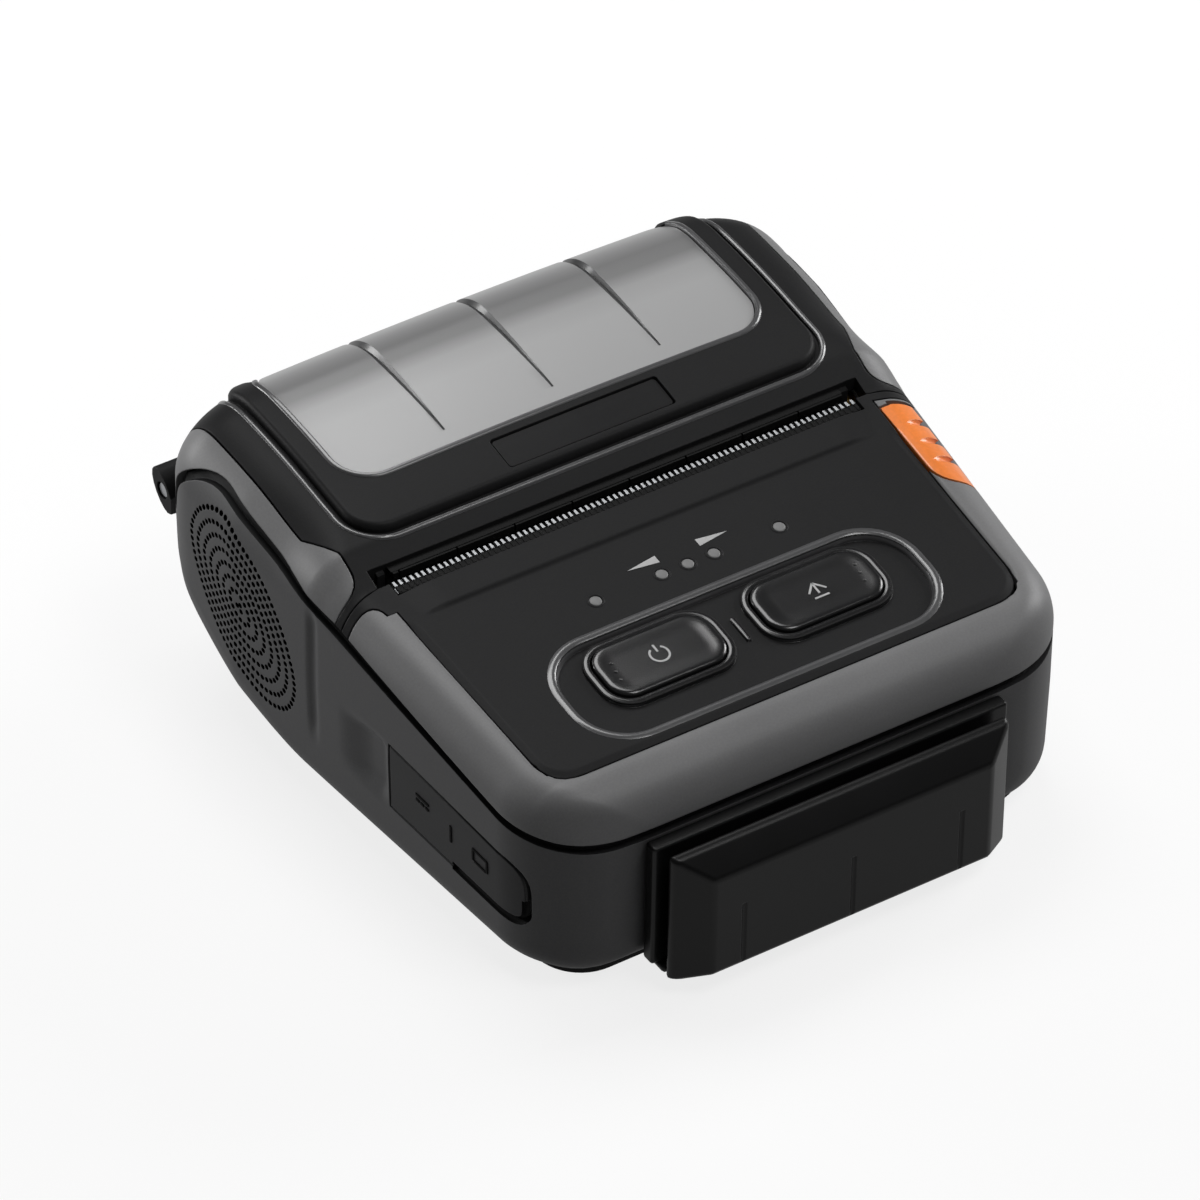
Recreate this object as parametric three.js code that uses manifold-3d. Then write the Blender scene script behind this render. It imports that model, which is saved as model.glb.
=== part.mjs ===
// A portable receipt printer: a palm-sized case with a hinged paper cover, a sloping button panel,
// a tear bar, a card reader on the front and the print mechanism inside.
// Millimetres, +Z up, the card reader faces -Y and the cover's hinge lies along the back.
import * as THREE from "three";
import { mergeVertices } from "three/addons/utils/BufferGeometryUtils.js";
import Module from "manifold-3d";

const wasm = await Module();
wasm.setup();

// Driving sizes of the whole object: the paper's width, and how far the panel and the cover reach
const paperHalfWidth = 40;
const tearFromFront = 54.3;
const coverLength = 52;
const readerDepth = 9.1;
const hingeBarrelRadius = 3;
const totalLength = readerDepth + tearFromFront + coverLength + hingeBarrelRadius;

// Widths as shares of the paper's half width
const widthShares = {
  rear: 1.35, front: 1.1875, slot: 1.095, deck: 0.95, pan: 0.775, button: 0.255, buttonOffset: 0.35,
  outerLed: 0.41, innerLed: 0.11675, reader: 0.75, platform: 1.05, window: 0.935, groove: 0.485,
  plate: 0.36625, wing: 1.215, wingFront: 1.155, hinge: 1.2625, battery: 0.825, board: 1.125,
  boardRight: 0.5, foot: 0.825, rearFoot: 0.925, screw: 0.95, rearScrew: 0.9625, spring: 0.5,
  motor: 0.375,
};
const widthOf = (name) => widthShares[name] * paperHalfWidth;

// Places along the panel as shares of its length, and along the cover as shares of the cover's
const panelShares = {
  deck: 0.14733, pan: 0.61694, panHalf: 0.1768, button: 0.57643, buttonHalf: 0.09576, led: 0.32228,
  lever: 0.35727, doorRear: 0.26888, door: 0.58195, batteryFront: 0.66298, batteryRear: 0.03683,
  jack: 0.40516, serial: 0.66298, foot: 0.21179, screw: 0.51565, board: 0.1105,
};
const panelLengthOf = (name) => panelShares[name] * tearFromFront;
const coverShares = {
  widest: 0.5, top: 0.24231, belly: 0.53846, seamRear: 0.53846, seamArc: 0.25, seamEnd: 0.14423,
  platform: 0.13654, window: 0.33077, windowRear: 0.05769, wingRear: 0.11538, plate: 0.17308,
  plateDepth: 0.10769, plateRear: 0.46154, foot: 0.38462, screw: 0.14038,
  bayFront: 0.26923,
};
const coverLengthOf = (name) => coverShares[name] * coverLength;

// Ends and corners of the body
const bodyFrontY = -totalLength / 2 + readerDepth;
const bodyRearY = totalLength / 2 - hingeBarrelRadius;
const bodyBottomZ = 2.8;
const frontHalfWidth = widthOf("front");
const rearHalfWidth = widthOf("rear");
const widestFromRear = coverLengthOf("widest");
const frontCorner = 13.5;
const rearCorner = 14;
const sideDraft = THREE.MathUtils.degToRad(1.5);

// Heights along the middle of the body, and where they are
const tearY = bodyFrontY + tearFromFront;
const tearZ = 42.1;
const bumperRadius = 8.2;
const bumperTopY = bodyFrontY + bumperRadius;
const panelFrontZ = 36.5;
const lipBehindTear = 3;
const lipY = tearY + lipBehindTear;
const lipZ = 43.3;
const rampLength = 3.4;
const rampY = lipY + rampLength;
const rampZ = 45.2;
const crestZ = 48.6;
const rearTopRadius = coverLengthOf("top");
const crestY = bodyRearY - rearTopRadius;
const bellyRadius = coverLengthOf("belly");
const coverCrown = 1.2;

// Rounding of the long edges, seen from the front
const panelEdgeRound = 6.2;
const coverEdgeRound = 10.5;
const bottomEdgeRound = 4.5;
const bellyEdgeRound = 12;
const leastRound = 0.6;
const edgeBlend = 16;

// The parting line between the lower case and everything above it
const seamFrontZ = 28.5;
const seamRearZ = 43.5;
const seamRearBehindTear = coverLengthOf("seamRear");
const seamArcRadius = coverLengthOf("seamArc");
const seamEndFromRear = coverLengthOf("seamEnd");
const seamGap = 1.2;
const rimInset = 1.1;
const splitSweep = 2.6;

// Walls and fits
const gap = 0.3;
const lowerWall = 1.8;
const panelWall = 2.2;
const coverWall = 2.6;
const overrun = 5;
const sides = 20;
const fineSides = 32;

// Hinge of the cover
const hingeY = bodyRearY;
const hingeZ = 27.5;
const hingePinRadius = 1.2;
const hingeBore = hingePinRadius + gap;
const hingeHalfLength = widthOf("hinge");
const knuckleLength = 9.2;
const knuckleLong = 3.9;
const knuckleShort = 2.2;
const knuckleTilt = THREE.MathUtils.degToRad(52);
const hingeRecessDepth = 3.6;
const hingeRecessDrop = 4.7;

// Control panel
const bumperWidth = 6.2;
const panelCorner = 5.5;
const splitBorder = 1.6;
const bumperEndRound = 3.5;
const slotHalfWidth = widthOf("slot");
const deckLength = panelLengthOf("deck");
const deckHeight = 0.5;
const deckHalfWidth = widthOf("deck");
const panHalfWidth = widthOf("pan");
const panHalfDepth = panelLengthOf("panHalf");
const panCorner = 8;
const panDrop = 1;
const panFromTear = panelLengthOf("pan");
const panFloor = 2.2;
const buttonHalfWidth = widthOf("button");
const buttonHalfDepth = panelLengthOf("buttonHalf");
const buttonCorner = 3.6;
const buttonOffset = widthOf("buttonOffset");
const buttonFromTear = panelLengthOf("button");
const buttonStand = 0.3;
const buttonTravel = 0.8;
const bezelWidth = 1.1;
const bezelHeight = 0.7;
const flangeWidth = 1;
const flangeThickness = 0.9;
const ledRadius = 1;
const ledFromTear = panelLengthOf("led");
const outerLedOffset = widthOf("outerLed");
const innerLedOffset = widthOf("innerLed");
const boardThickness = 1.6;
const buttonBoardDepth = 6.2;

// Tear bar
const paperMargin = 1.5;
const tearHalfWidth = paperHalfWidth + paperMargin;
const toothPitch = 1;
const toothLength = 1;
const tearThickness = 0.6;
const tearSeat = 2.4;
const tearSink = 0.1;
const tearReach = 0.3;

// Release lever on the right side
const leverLength = panelLengthOf("lever");
const leverFromTear = 3.1;
const leverArm = 4;
const leverLift = 2;
const leverRearRoom = 0.8;
const leverRoomBelow = 0.8;
const leverCornerRound = 5;
const leverArmWidth = 6;

// Port door on the left side
const doorRearFromTear = panelLengthOf("doorRear");
const doorLength = panelLengthOf("door");
const doorTopZ = 25;
const doorSlope = 2.3;
const doorHeight = 12;
const doorWall = 1.6;
const doorKnuckle = 0.7;
const doorFreeGap = 0.8;
const doorCornerRound = 5;

// Card reader
const readerHalfWidth = widthOf("reader");
const readerTopZ = 26.5;
const readerBottomZ = 4.5;
const readerBlockBottomZ = 2.6;
const readerBlockDepth = 5;
const readerChamfer = 3.6;
const readerSideChamfer = 5.2;
const readerFlatTopZ = 22.7;
const readerFlatBottomZ = 4.1;
const cardSlot = 1.3;
const readerWallTopZ = 27.2;
const readerWallExtra = 1.5;
const readerFloorThickness = 1.6;
const headWidth = 8;
const headHeight = 5;
const headProud = 0.2;
const headMiddleZ = 14;
const headDepth = 1.6;

// Cover: raised platform, window, wings and plate
const platformRise = 1.1;
const platformHalfWidth = widthOf("platform");
const platformFrontBehindTear = coverLengthOf("platform");
const platformRearFromRear = 1.5;
const platformCorner = 6;
const windowHalfWidth = widthOf("window");
const windowFrontBehindTear = coverLengthOf("window");
const windowRearFromRear = coverLengthOf("windowRear");
const windowCorner = 6;
const windowSink = 0.4;
const windowThickness = 1.6;
const windowLedge = 2;
const grooveOffset = widthOf("groove");
const grooveWidth = 1.3;
const grooveDepth = 0.7;
const grooveStart = 4;
const wingInnerHalfWidth = widthOf("wing");
const wingFrontHalfWidth = widthOf("wingFront");
const wingThickness = 1.4;
const wingCornerRound = 3;
const wingNarrowStart = 7;
const wingNarrowEnd = 13.5;
const wingRearFromRear = coverLengthOf("wingRear");
const plateHalfWidth = widthOf("plate");
const plateDepth = coverLengthOf("plateDepth");
const plateBehindTear = coverLengthOf("plate");
const plateThickness = 0.5;
const plateSink = 0.3;

// Print mechanism
const platenBehindTear = 5.5;
const platenY = tearY + platenBehindTear;
const platenZ = 36;
const platenRadius = 5;
const rollerMargin = 0.5;
const platenHalfLength = paperHalfWidth + rollerMargin;
const shaftRadius = 1.5;
const shaftBore = shaftRadius + gap;
const armMargin = 0.4;
const armThickness = 1.3;
const armInner = platenHalfLength + armMargin;
const armHalfDepth = 3;
const armDrop = 3;
const frameThickness = 1.4;
const frameMargin = 0.6;
const frameInner = armInner + armThickness + frameMargin;
const bushRadius = 3;
const bushInner = armInner + armThickness + gap;
const bushLength = 2;
const gearFace = 2;
const gearInner = frameInner + frameThickness + 0.6;
const gearModule = 0.5;
const platenTeeth = 18;
const idlerTeeth = 28;
const pinionTeeth = 12;
const meshPlay = 0.1;
const idlerForward = 3;
const pinionDrop = 4;
const motorRadius = 7.5;
const motorLength = widthOf("motor");
const motorShaftRadius = 1;
const frameForward = 16;
const frameBehind = 4.4;
const frameFrontY = platenY - frameForward;
const frameRearY = platenY + frameBehind;
const frameTopZ = 37.2;
const printHeadThickness = 0.8;
const heatSinkThickness = 2.6;
const headBottomZ = 30;
const headTopFromTear = 3;
const bridgeThickness = 0.8;
const springLength = 3.2;
const springRadius = 2.2;
const springOffset = widthOf("spring");

// Paper bay: its trough keeps the same room inside the round belly of the case
const bayInsideBelly = 8;
const bayRadius = bellyRadius - bayInsideBelly;
const bayWall = 1;
const bayHalfWidth = paperHalfWidth + gap;
const bayRearClearance = 0.4;
const bayWallTopZ = 36;
const bayFrontTopZ = 29;
const bayFrontCut = coverLengthOf("bayFront");

// Battery, boards and sockets
const batteryHalfWidth = widthOf("battery");
const batteryFrontY = tearY - panelLengthOf("batteryFront");
const batteryRearY = tearY + panelLengthOf("batteryRear");
const batteryBottomZ = 1;
const batteryTopZ = 11.6;
const wellWall = 1.2;
const wellRoof = 0.8;
const batteryLatchHalfWidth = 7;
const batteryLatchLength = 5;
const batteryLatchTravel = 2.5;
const boardLeftX = -widthOf("board");
const boardRightX = widthOf("boardRight");
const boardFrontY = bodyFrontY + panelLengthOf("board");
const socketFace = 3.2;
const jackWidth = 9;
const jackHeight = 7;
const jackLength = 11;
const jackBore = 2.9;
const jackBoreDepth = 8;
const jackFromTear = panelLengthOf("jack");
const serialWidth = 15;
const serialHeight = 6.6;
const serialLength = 9;
const serialOpenWidth = 12.6;
const serialOpenHeight = 4.6;
const serialOpenDepth = 6.5;
const serialFromTear = panelLengthOf("serial");

// Base plate, feet and case screws
const plateBottomZ = 0.8;
const plateInset = 3.6;
const plateSideInset = 5;
const plateRearFromRear = coverLengthOf("plateRear");
const plateFootprintCorner = 8;
const footRadius = 5;
const footSink = 0.6;
const frontFootX = widthOf("foot");
const footFromFront = panelLengthOf("foot");
const rearFootX = widthOf("rearFoot");
const rearFootBehindTear = coverLengthOf("foot");
const screwRadius = 1.1;
const screwHead = 2;
const screwHeadDepth = 0.7;
const screwLength = 10;
const bossRadius = 3;
const frontScrewX = widthOf("screw");
const frontScrewFromTear = panelLengthOf("screw");
const rearScrewX = widthOf("rearScrew");
const rearScrewBehindTear = coverLengthOf("screw");

// Colours and finishes
function finish(color, roughness, metalness = 0) {
  return new THREE.MeshStandardMaterial({ color, roughness, metalness });
}
const blackPlastic = finish(0x2a2a2b, 0.62);
const casePlastic = finish(0x3c3c3d, 0.6);
const greyPlastic = finish(0x6f6f70, 0.5);
const glossBlack = finish(0x161617, 0.2);
const windowPlastic = finish(0x9c9c9c, 0.15);
const orangePlastic = finish(0xe8752d, 0.35);
const lensPlastic = finish(0x7d7d7d, 0.3);
const rubber = finish(0x1b1b1b, 0.9);
const steel = finish(0xb9bcc0, 0.3, 1);
const aluminium = finish(0xa9adb2, 0.4, 1);
const brass = finish(0xb08d4a, 0.35, 1);
const boardGreen = finish(0x2e5a3a, 0.5);
const whitePlastic = finish(0xd8d8d2, 0.5);

// Solids: a closed three.js geometry becomes a manifold, and a manifold becomes a named mesh
function solid(geometry) {
  const bare = geometry.clone();
  bare.deleteAttribute("normal");
  bare.deleteAttribute("uv");
  const merged = mergeVertices(bare, 1e-4);
  return new wasm.Manifold(new wasm.Mesh({
    numProp: 3,
    vertProperties: merged.attributes.position.array,
    triVerts: new Uint32Array(merged.index.array),
  }));
}

function join(...solids) {
  return solids.reduce((whole, next) => whole.add(next));
}

function cut(whole, ...solids) {
  return solids.reduce((rest, next) => rest.subtract(next), whole);
}

function largest(whole) {
  return whole.decompose().sort((a, b) => b.volume() - a.volume())[0];
}

const printer = new THREE.Group();

function piece(name, whole, material) {
  const body = largest(whole).getMesh();
  const geometry = new THREE.BufferGeometry();
  geometry.setAttribute("position", new THREE.BufferAttribute(body.vertProperties, body.numProp));
  geometry.setIndex(new THREE.BufferAttribute(body.triVerts, 1));
  const flat = geometry.toNonIndexed();
  flat.computeVertexNormals();
  const mesh = new THREE.Mesh(flat, material);
  mesh.name = name;
  printer.add(mesh);
}

// Simple solids placed by their limits
function box([x0, x1], [y0, y1], [z0, z1]) {
  const geometry = new THREE.BoxGeometry(x1 - x0, y1 - y0, z1 - z0);
  return solid(geometry.translate((x0 + x1) / 2, (y0 + y1) / 2, (z0 + z1) / 2));
}

function rodX(radius, [x0, x1], y, z, facets = sides) {
  const geometry = new THREE.CylinderGeometry(radius, radius, x1 - x0, facets);
  return solid(geometry.rotateZ(-Math.PI / 2).translate((x0 + x1) / 2, y, z));
}

function rodY(radius, x, [y0, y1], z, facets = sides) {
  const geometry = new THREE.CylinderGeometry(radius, radius, y1 - y0, facets);
  return solid(geometry.translate(x, (y0 + y1) / 2, z));
}

function rodZ(radius, x, y, [z0, z1], facets = sides) {
  const geometry = new THREE.CylinderGeometry(radius, radius, z1 - z0, facets);
  return solid(geometry.rotateX(Math.PI / 2).translate(x, y, (z0 + z1) / 2));
}

// A shape drawn in plan, x and y, stands from z0 to z1
function prismZ(shape, [z0, z1]) {
  const geometry = new THREE.ExtrudeGeometry(shape, {
    depth: z1 - z0, bevelEnabled: false, curveSegments: 6,
  });
  return solid(geometry.translate(0, 0, z0));
}

// A shape drawn in side view, y and z, runs from x0 to x1
function prismX(shape, [x0, x1], curveSegments = 10) {
  const geometry = new THREE.ExtrudeGeometry(shape, {
    depth: x1 - x0, bevelEnabled: false, curveSegments,
  });
  const turn = new THREE.Matrix4().makeBasis(
    new THREE.Vector3(0, 1, 0),
    new THREE.Vector3(0, 0, 1),
    new THREE.Vector3(1, 0, 0),
  );
  return solid(geometry.applyMatrix4(turn).translate(x0, 0, 0));
}

function polygon(points) {
  return new THREE.Shape(points.map(([a, b]) => new THREE.Vector2(a, b)));
}

// A rectangle with round corners, by its middle and half sizes
function roundedRectangle(x, y, halfX, halfY, corner) {
  const r = Math.min(corner, halfX * 0.98, halfY * 0.98);
  const shape = new THREE.Shape();
  const turns = [[1, 1, 0], [-1, 1, 1], [-1, -1, 2], [1, -1, 3]];
  turns.forEach(([sx, sy, quarter]) => {
    const start = quarter * Math.PI / 2;
    shape.absarc(x + sx * (halfX - r), y + sy * (halfY - r), r, start, start + Math.PI / 2);
  });
  return shape;
}

// Rings of equal count, each a list of [x, y, z], joined in turn and closed by a fan at both ends
function loft(rings) {
  const count = rings[0].length;
  const points = rings.flat();
  const middle = (ring) => ring
    .reduce((sum, p) => sum.map((value, axis) => value + p[axis]), [0, 0, 0])
    .map((value) => value / count);
  points.push(middle(rings[0]), middle(rings.at(-1)));
  const first = points.length - 2;
  const last = points.length - 1;
  const index = [];
  for (let k = 0; k < count; k++) {
    const next = (k + 1) % count;
    for (let r = 0; r + 1 < rings.length; r++) {
      const [a, b] = [r * count + k, r * count + next];
      const [c, d] = [a + count, b + count];
      index.push(a, b, d, a, d, c);
    }
    const base = (rings.length - 1) * count;
    index.push(first, next, k);
    index.push(last, base + k, base + next);
  }
  const geometry = new THREE.BufferGeometry();
  geometry.setAttribute("position", new THREE.Float32BufferAttribute(points.flat(), 3));
  geometry.setIndex(index);
  return solid(geometry);
}

// The outer form of the body: width, top and bottom at each place along it, moved in by an inset
function arcHeight(radius, offset) {
  return Math.sqrt(Math.max(radius * radius - offset * offset, 0));
}

function sideLine(y) {
  const widestY = bodyRearY - widestFromRear;
  const share = Math.min((y - bodyFrontY) / (widestY - bodyFrontY), 1);
  return THREE.MathUtils.lerp(frontHalfWidth, rearHalfWidth, share);
}

function halfWidth(y, inset) {
  const intoFront = bodyFrontY + frontCorner - y;
  const intoRear = y - (bodyRearY - rearCorner);
  if (intoFront > 0) {
    return sideLine(y) - frontCorner + arcHeight(frontCorner - inset, intoFront);
  }
  if (intoRear > 0) {
    return sideLine(y) - rearCorner + arcHeight(rearCorner - inset, intoRear);
  }
  return sideLine(y) - inset;
}

function panelHeight(y) {
  const share = (y - bumperTopY) / (tearY - bumperTopY);
  return THREE.MathUtils.lerp(panelFrontZ, tearZ, share);
}

function topHeight(y, inset) {
  if (y < bumperTopY) {
    return panelFrontZ - bumperRadius + arcHeight(bumperRadius - inset, bumperTopY - y);
  }
  if (y < tearY) return panelHeight(y) - inset;
  if (y < lipY) return THREE.MathUtils.lerp(tearZ, lipZ, (y - tearY) / lipBehindTear) - inset;
  if (y < rampY) return THREE.MathUtils.lerp(lipZ, rampZ, (y - lipY) / rampLength) - inset;
  if (y < crestY) {
    const back = (crestY - y) / (crestY - rampY);
    return crestZ - (crestZ - rampZ) * back * back - inset;
  }
  return crestZ - rearTopRadius + arcHeight(rearTopRadius - inset, y - crestY);
}

function bottomHeight(y, inset) {
  const intoFront = bodyFrontY + bottomEdgeRound - y;
  const intoRear = y - (bodyRearY - bellyRadius);
  if (intoFront > 0) {
    return bodyBottomZ + bottomEdgeRound - arcHeight(bottomEdgeRound - inset, intoFront);
  }
  if (intoRear > 0) return bodyBottomZ + bellyRadius - arcHeight(bellyRadius - inset, intoRear);
  return bodyBottomZ + inset;
}

function topRound(y) {
  const share = THREE.MathUtils.smoothstep(y, tearY, tearY + edgeBlend);
  return THREE.MathUtils.lerp(panelEdgeRound, coverEdgeRound, share);
}

function bottomRound(y) {
  const share = THREE.MathUtils.smoothstep(y, bodyRearY - bellyRadius - edgeBlend, crestY);
  return THREE.MathUtils.lerp(bottomEdgeRound, bellyEdgeRound, share);
}

function section(y, inset) {
  const arcSteps = 5;
  const topSteps = 3;
  const half = halfWidth(y, inset);
  const [top, bottom] = [topHeight(y, inset), bottomHeight(y, inset)];
  const room = Math.min(half, (top - bottom) / 2) * 0.96;
  const upper = Math.min(Math.max(topRound(y) - inset, leastRound), room);
  const lower = Math.min(Math.max(bottomRound(y) - inset, leastRound), room);
  const crown = coverCrown * THREE.MathUtils.smoothstep(y, lipY, lipY + edgeBlend);
  const middle = (top + bottom) / 2;
  const side = [];
  for (let k = 0; k <= arcSteps; k++) {
    const turn = k / arcSteps * Math.PI / 2;
    side.push([half - lower + lower * Math.sin(turn), bottom + lower - lower * Math.cos(turn)]);
  }
  for (let k = 0; k <= arcSteps; k++) {
    const turn = k / arcSteps * Math.PI / 2;
    side.push([half - upper + upper * Math.cos(turn), top - upper + upper * Math.sin(turn)]);
  }
  for (let k = 1; k < topSteps; k++) side.push([(half - upper) * (1 - k / topSteps), top]);
  const shaped = side.map(([x, z]) => {
    const drop = crown * (x / half) ** 2 * Math.max(z - middle, 0) / (top - middle);
    return [x - Math.tan(sideDraft) * Math.max(middle - z, 0), z - drop];
  });
  const right = shaped.map(([x, z]) => [x, y, z]);
  const left = shaped.slice().reverse().map(([x, z]) => [-x, y, z]);
  return [...right, [0, y, top], ...left];
}

// Stations crowd where the form turns: at both ends and over the cover's front
function stations(inset) {
  const turns = 6;
  const places = [];
  for (let k = 0; k <= turns; k++) {
    const share = 1 - Math.cos(k / turns * Math.PI / 2);
    places.push(bodyFrontY + inset + (frontCorner - inset) * share);
    places.push(bodyRearY - inset - (rearCorner - inset) * share);
  }
  const blendSteps = 4;
  const blendEndY = lipY + edgeBlend;
  for (let k = 0; k < blendSteps; k++) places.push(THREE.MathUtils.lerp(rampY, blendEndY, k / blendSteps));
  const coverSteps = 6;
  for (let k = 0; k < coverSteps; k++) {
    places.push(THREE.MathUtils.lerp(blendEndY, bodyRearY - rearCorner, k / coverSteps));
  }
  places.push(bodyRearY - bellyRadius, bumperTopY, tearY, lipY);
  return places.sort((a, b) => a - b);
}

function envelope(inset) {
  const spaced = stations(inset).filter((y, k, all) => k === 0 || y - all[k - 1] > 0.05);
  return loft(spaced.map((y) => section(y, inset)).reverse());
}

const envelopes = new Map();
function form(inset) {
  if (!envelopes.has(inset)) envelopes.set(inset, envelope(inset));
  return envelopes.get(inset);
}

function skin(outerInset, innerInset) {
  return form(outerInset).subtract(form(innerInset));
}

const allX = [-rearHalfWidth - overrun, rearHalfWidth + overrun];
const allY = [-totalLength, totalLength];
const allZ = [-overrun, crestZ + 2 * overrun];
const upperZ = [crestZ / 2, allZ[1]];

// The parting surface, in side view
function seamHeight(y) {
  const rearY = tearY + seamRearBehindTear;
  const share = (y - bodyFrontY) / (rearY - bodyFrontY);
  return THREE.MathUtils.lerp(seamFrontZ, seamRearZ, share);
}

const seamSlope = Math.atan2(seamRearZ - seamFrontZ, tearFromFront + seamRearBehindTear);
const seamEndY = bodyRearY - seamEndFromRear;
const seamArcY = seamEndY - seamArcRadius;
const seamArcZ = seamHeight(seamArcY) - seamArcRadius / Math.cos(seamSlope);

// Everything above the parting line, moved by a drop: a line to the rear, an arc down, then level
function aboveSeam(drop) {
  const radius = seamArcRadius - drop;
  const shape = new THREE.Shape();
  const arcStart = Math.PI / 2 + seamSlope;
  shape.moveTo(allY[0], seamHeight(allY[0]) - drop / Math.cos(seamSlope));
  shape.lineTo(seamArcY + radius * Math.cos(arcStart), seamArcZ + radius * Math.sin(arcStart));
  shape.absarc(seamArcY, seamArcZ, radius, arcStart, 0, true);
  shape.lineTo(allY[1], seamArcZ);
  shape.lineTo(allY[1], allZ[1]);
  shape.lineTo(allY[0], allZ[1]);
  return prismX(shape, allX);
}

// In plan the cover starts behind the tear bar, and further forward at the sides
function coverPlan(back) {
  const front = tearY + back;
  const far = allX[1];
  const sweep = splitSweep * (far - slotHalfWidth) / (rearHalfWidth - slotHalfWidth);
  const points = [
    [far, front - sweep], [slotHalfWidth, front], [slotHalfWidth, lipY + back],
    [-slotHalfWidth, lipY + back], [-slotHalfWidth, front], [-far, front - sweep],
    [-far, allY[1]], [far, allY[1]],
  ];
  return prismZ(polygon(points.reverse()), allZ);
}

function frontPlan(forward) {
  const front = tearY - forward;
  const far = allX[1];
  const sweep = splitSweep * (far - slotHalfWidth) / (rearHalfWidth - slotHalfWidth);
  const points = [
    [-far, allY[0]], [far, allY[0]], [far, front - sweep],
    [slotHalfWidth, front], [-slotHalfWidth, front], [-far, front - sweep],
  ];
  return prismZ(polygon(points), allZ);
}

const upperHalf = aboveSeam(0);

// Lower case: a tub with a set-in rim, the battery well, screw bosses and the hinge's fixed knuckles
const caseFloorZ = bodyBottomZ + lowerWall;
const footPlaces = [
  ["front_left", -frontFootX, bodyFrontY + footFromFront],
  ["front_right", frontFootX, bodyFrontY + footFromFront],
  ["rear_left", -rearFootX, tearY + rearFootBehindTear],
  ["rear_right", rearFootX, tearY + rearFootBehindTear],
];
const screwPlaces = [
  ["front_left", -frontScrewX, tearY - frontScrewFromTear],
  ["front_right", frontScrewX, tearY - frontScrewFromTear],
  ["rear_left", -rearScrewX, tearY + rearScrewBehindTear],
  ["rear_right", rearScrewX, tearY + rearScrewBehindTear],
];
const screwBottomZ = plateBottomZ + gap / 2;
const screwTopZ = screwBottomZ + screwLength;

function oval(long, short) {
  const shape = new THREE.Shape();
  shape.absellipse(hingeY, hingeZ, long, short, 0, 2 * Math.PI, false, knuckleTilt);
  return shape;
}

function fixedKnuckle(side) {
  const inner = hingeHalfLength - knuckleLength;
  const span = side < 0 ? [-hingeHalfLength, -inner] : [inner, hingeHalfLength];
  const web = box(span, [hingeY - hingeRecessDepth - gap, hingeY], [hingeZ - knuckleLong + 1, hingeZ]);
  return join(prismX(oval(knuckleLong, knuckleShort), span, 8), web);
}

function doorShape(grow, frontGrow) {
  const rearY = tearY - doorRearFromTear + grow;
  const frontY = tearY - doorRearFromTear - doorLength - frontGrow;
  const top = doorTopZ + grow;
  const bottom = doorTopZ - doorHeight - grow;
  const round = doorCornerRound + grow;
  const shape = new THREE.Shape();
  shape.moveTo(rearY, bottom + grow);
  shape.lineTo(rearY, top);
  shape.lineTo(frontY + round, top - doorSlope);
  shape.quadraticCurveTo(frontY, top - doorSlope, frontY, top - doorSlope - round);
  shape.lineTo(frontY, bottom - doorSlope / 2 + round / 2);
  shape.quadraticCurveTo(frontY, bottom - doorSlope / 2, frontY + round / 2, bottom - doorSlope / 2);
  shape.lineTo(rearY - round / 2, bottom);
  return shape;
}

const doorHingeY = tearY - doorRearFromTear - doorKnuckle;
const doorHingeX = -sideLine(doorHingeY) + doorKnuckle;
const doorZ = [doorTopZ - doorHeight, doorTopZ];
const doorSide = [allX[0], -rearHalfWidth + 4 * overrun];

function lowerCase() {
  const low = cut(skin(0, lowerWall), aboveSeam(seamGap + gap));
  const rim = cut(skin(rimInset, lowerWall), aboveSeam(gap));
  const wellX = [-batteryHalfWidth - gap - wellWall, batteryHalfWidth + gap + wellWall];
  const wellY = [batteryFrontY - gap - wellWall, batteryRearY + gap + wellWall];
  const well = box(wellX, wellY, [caseFloorZ - gap, batteryTopZ + gap + wellRoof]);
  const bosses = screwPlaces.map(([, x, y]) => rodZ(bossRadius, x, y, [caseFloorZ - gap, screwTopZ + gap]));
  const recessY = [hingeY - hingeRecessDepth - lowerWall + gap, hingeY - hingeRecessDepth];
  const recessWall = cut(
    form(0).intersect(box(allX, recessY, [hingeZ - 2 * hingeRecessDrop, seamArcZ - gap])),
    aboveSeam(gap),
  );
  const recessFloor = form(0).intersect(box(
    allX, [recessY[0], allY[1]],
    [hingeZ - hingeRecessDrop - lowerWall, hingeZ - hingeRecessDrop],
  ));
  const whole = join(low, rim, well, ...bosses, recessWall, recessFloor);
  const hingeRecess = box(
    allX, [hingeY - hingeRecessDepth, allY[1]],
    [hingeZ - hingeRecessDrop, seamArcZ + overrun],
  );
  const battery = box(
    [-batteryHalfWidth - gap, batteryHalfWidth + gap],
    [batteryFrontY - gap, batteryRearY + gap],
    [-overrun, batteryTopZ + gap],
  );
  const holes = screwPlaces.map(([, x, y]) => rodZ(screwRadius + gap, x, y, [-overrun, screwTopZ + overrun]));
  const doorway = prismX(doorShape(gap, doorFreeGap), doorSide);
  const opened = cut(whole, hingeRecess, battery, doorway, ...holes);
  const knuckles = join(opened, fixedKnuckle(-1), fixedKnuckle(1));
  return cut(knuckles, rodX(hingeBore, allX, hingeY, hingeZ));
}

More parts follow.
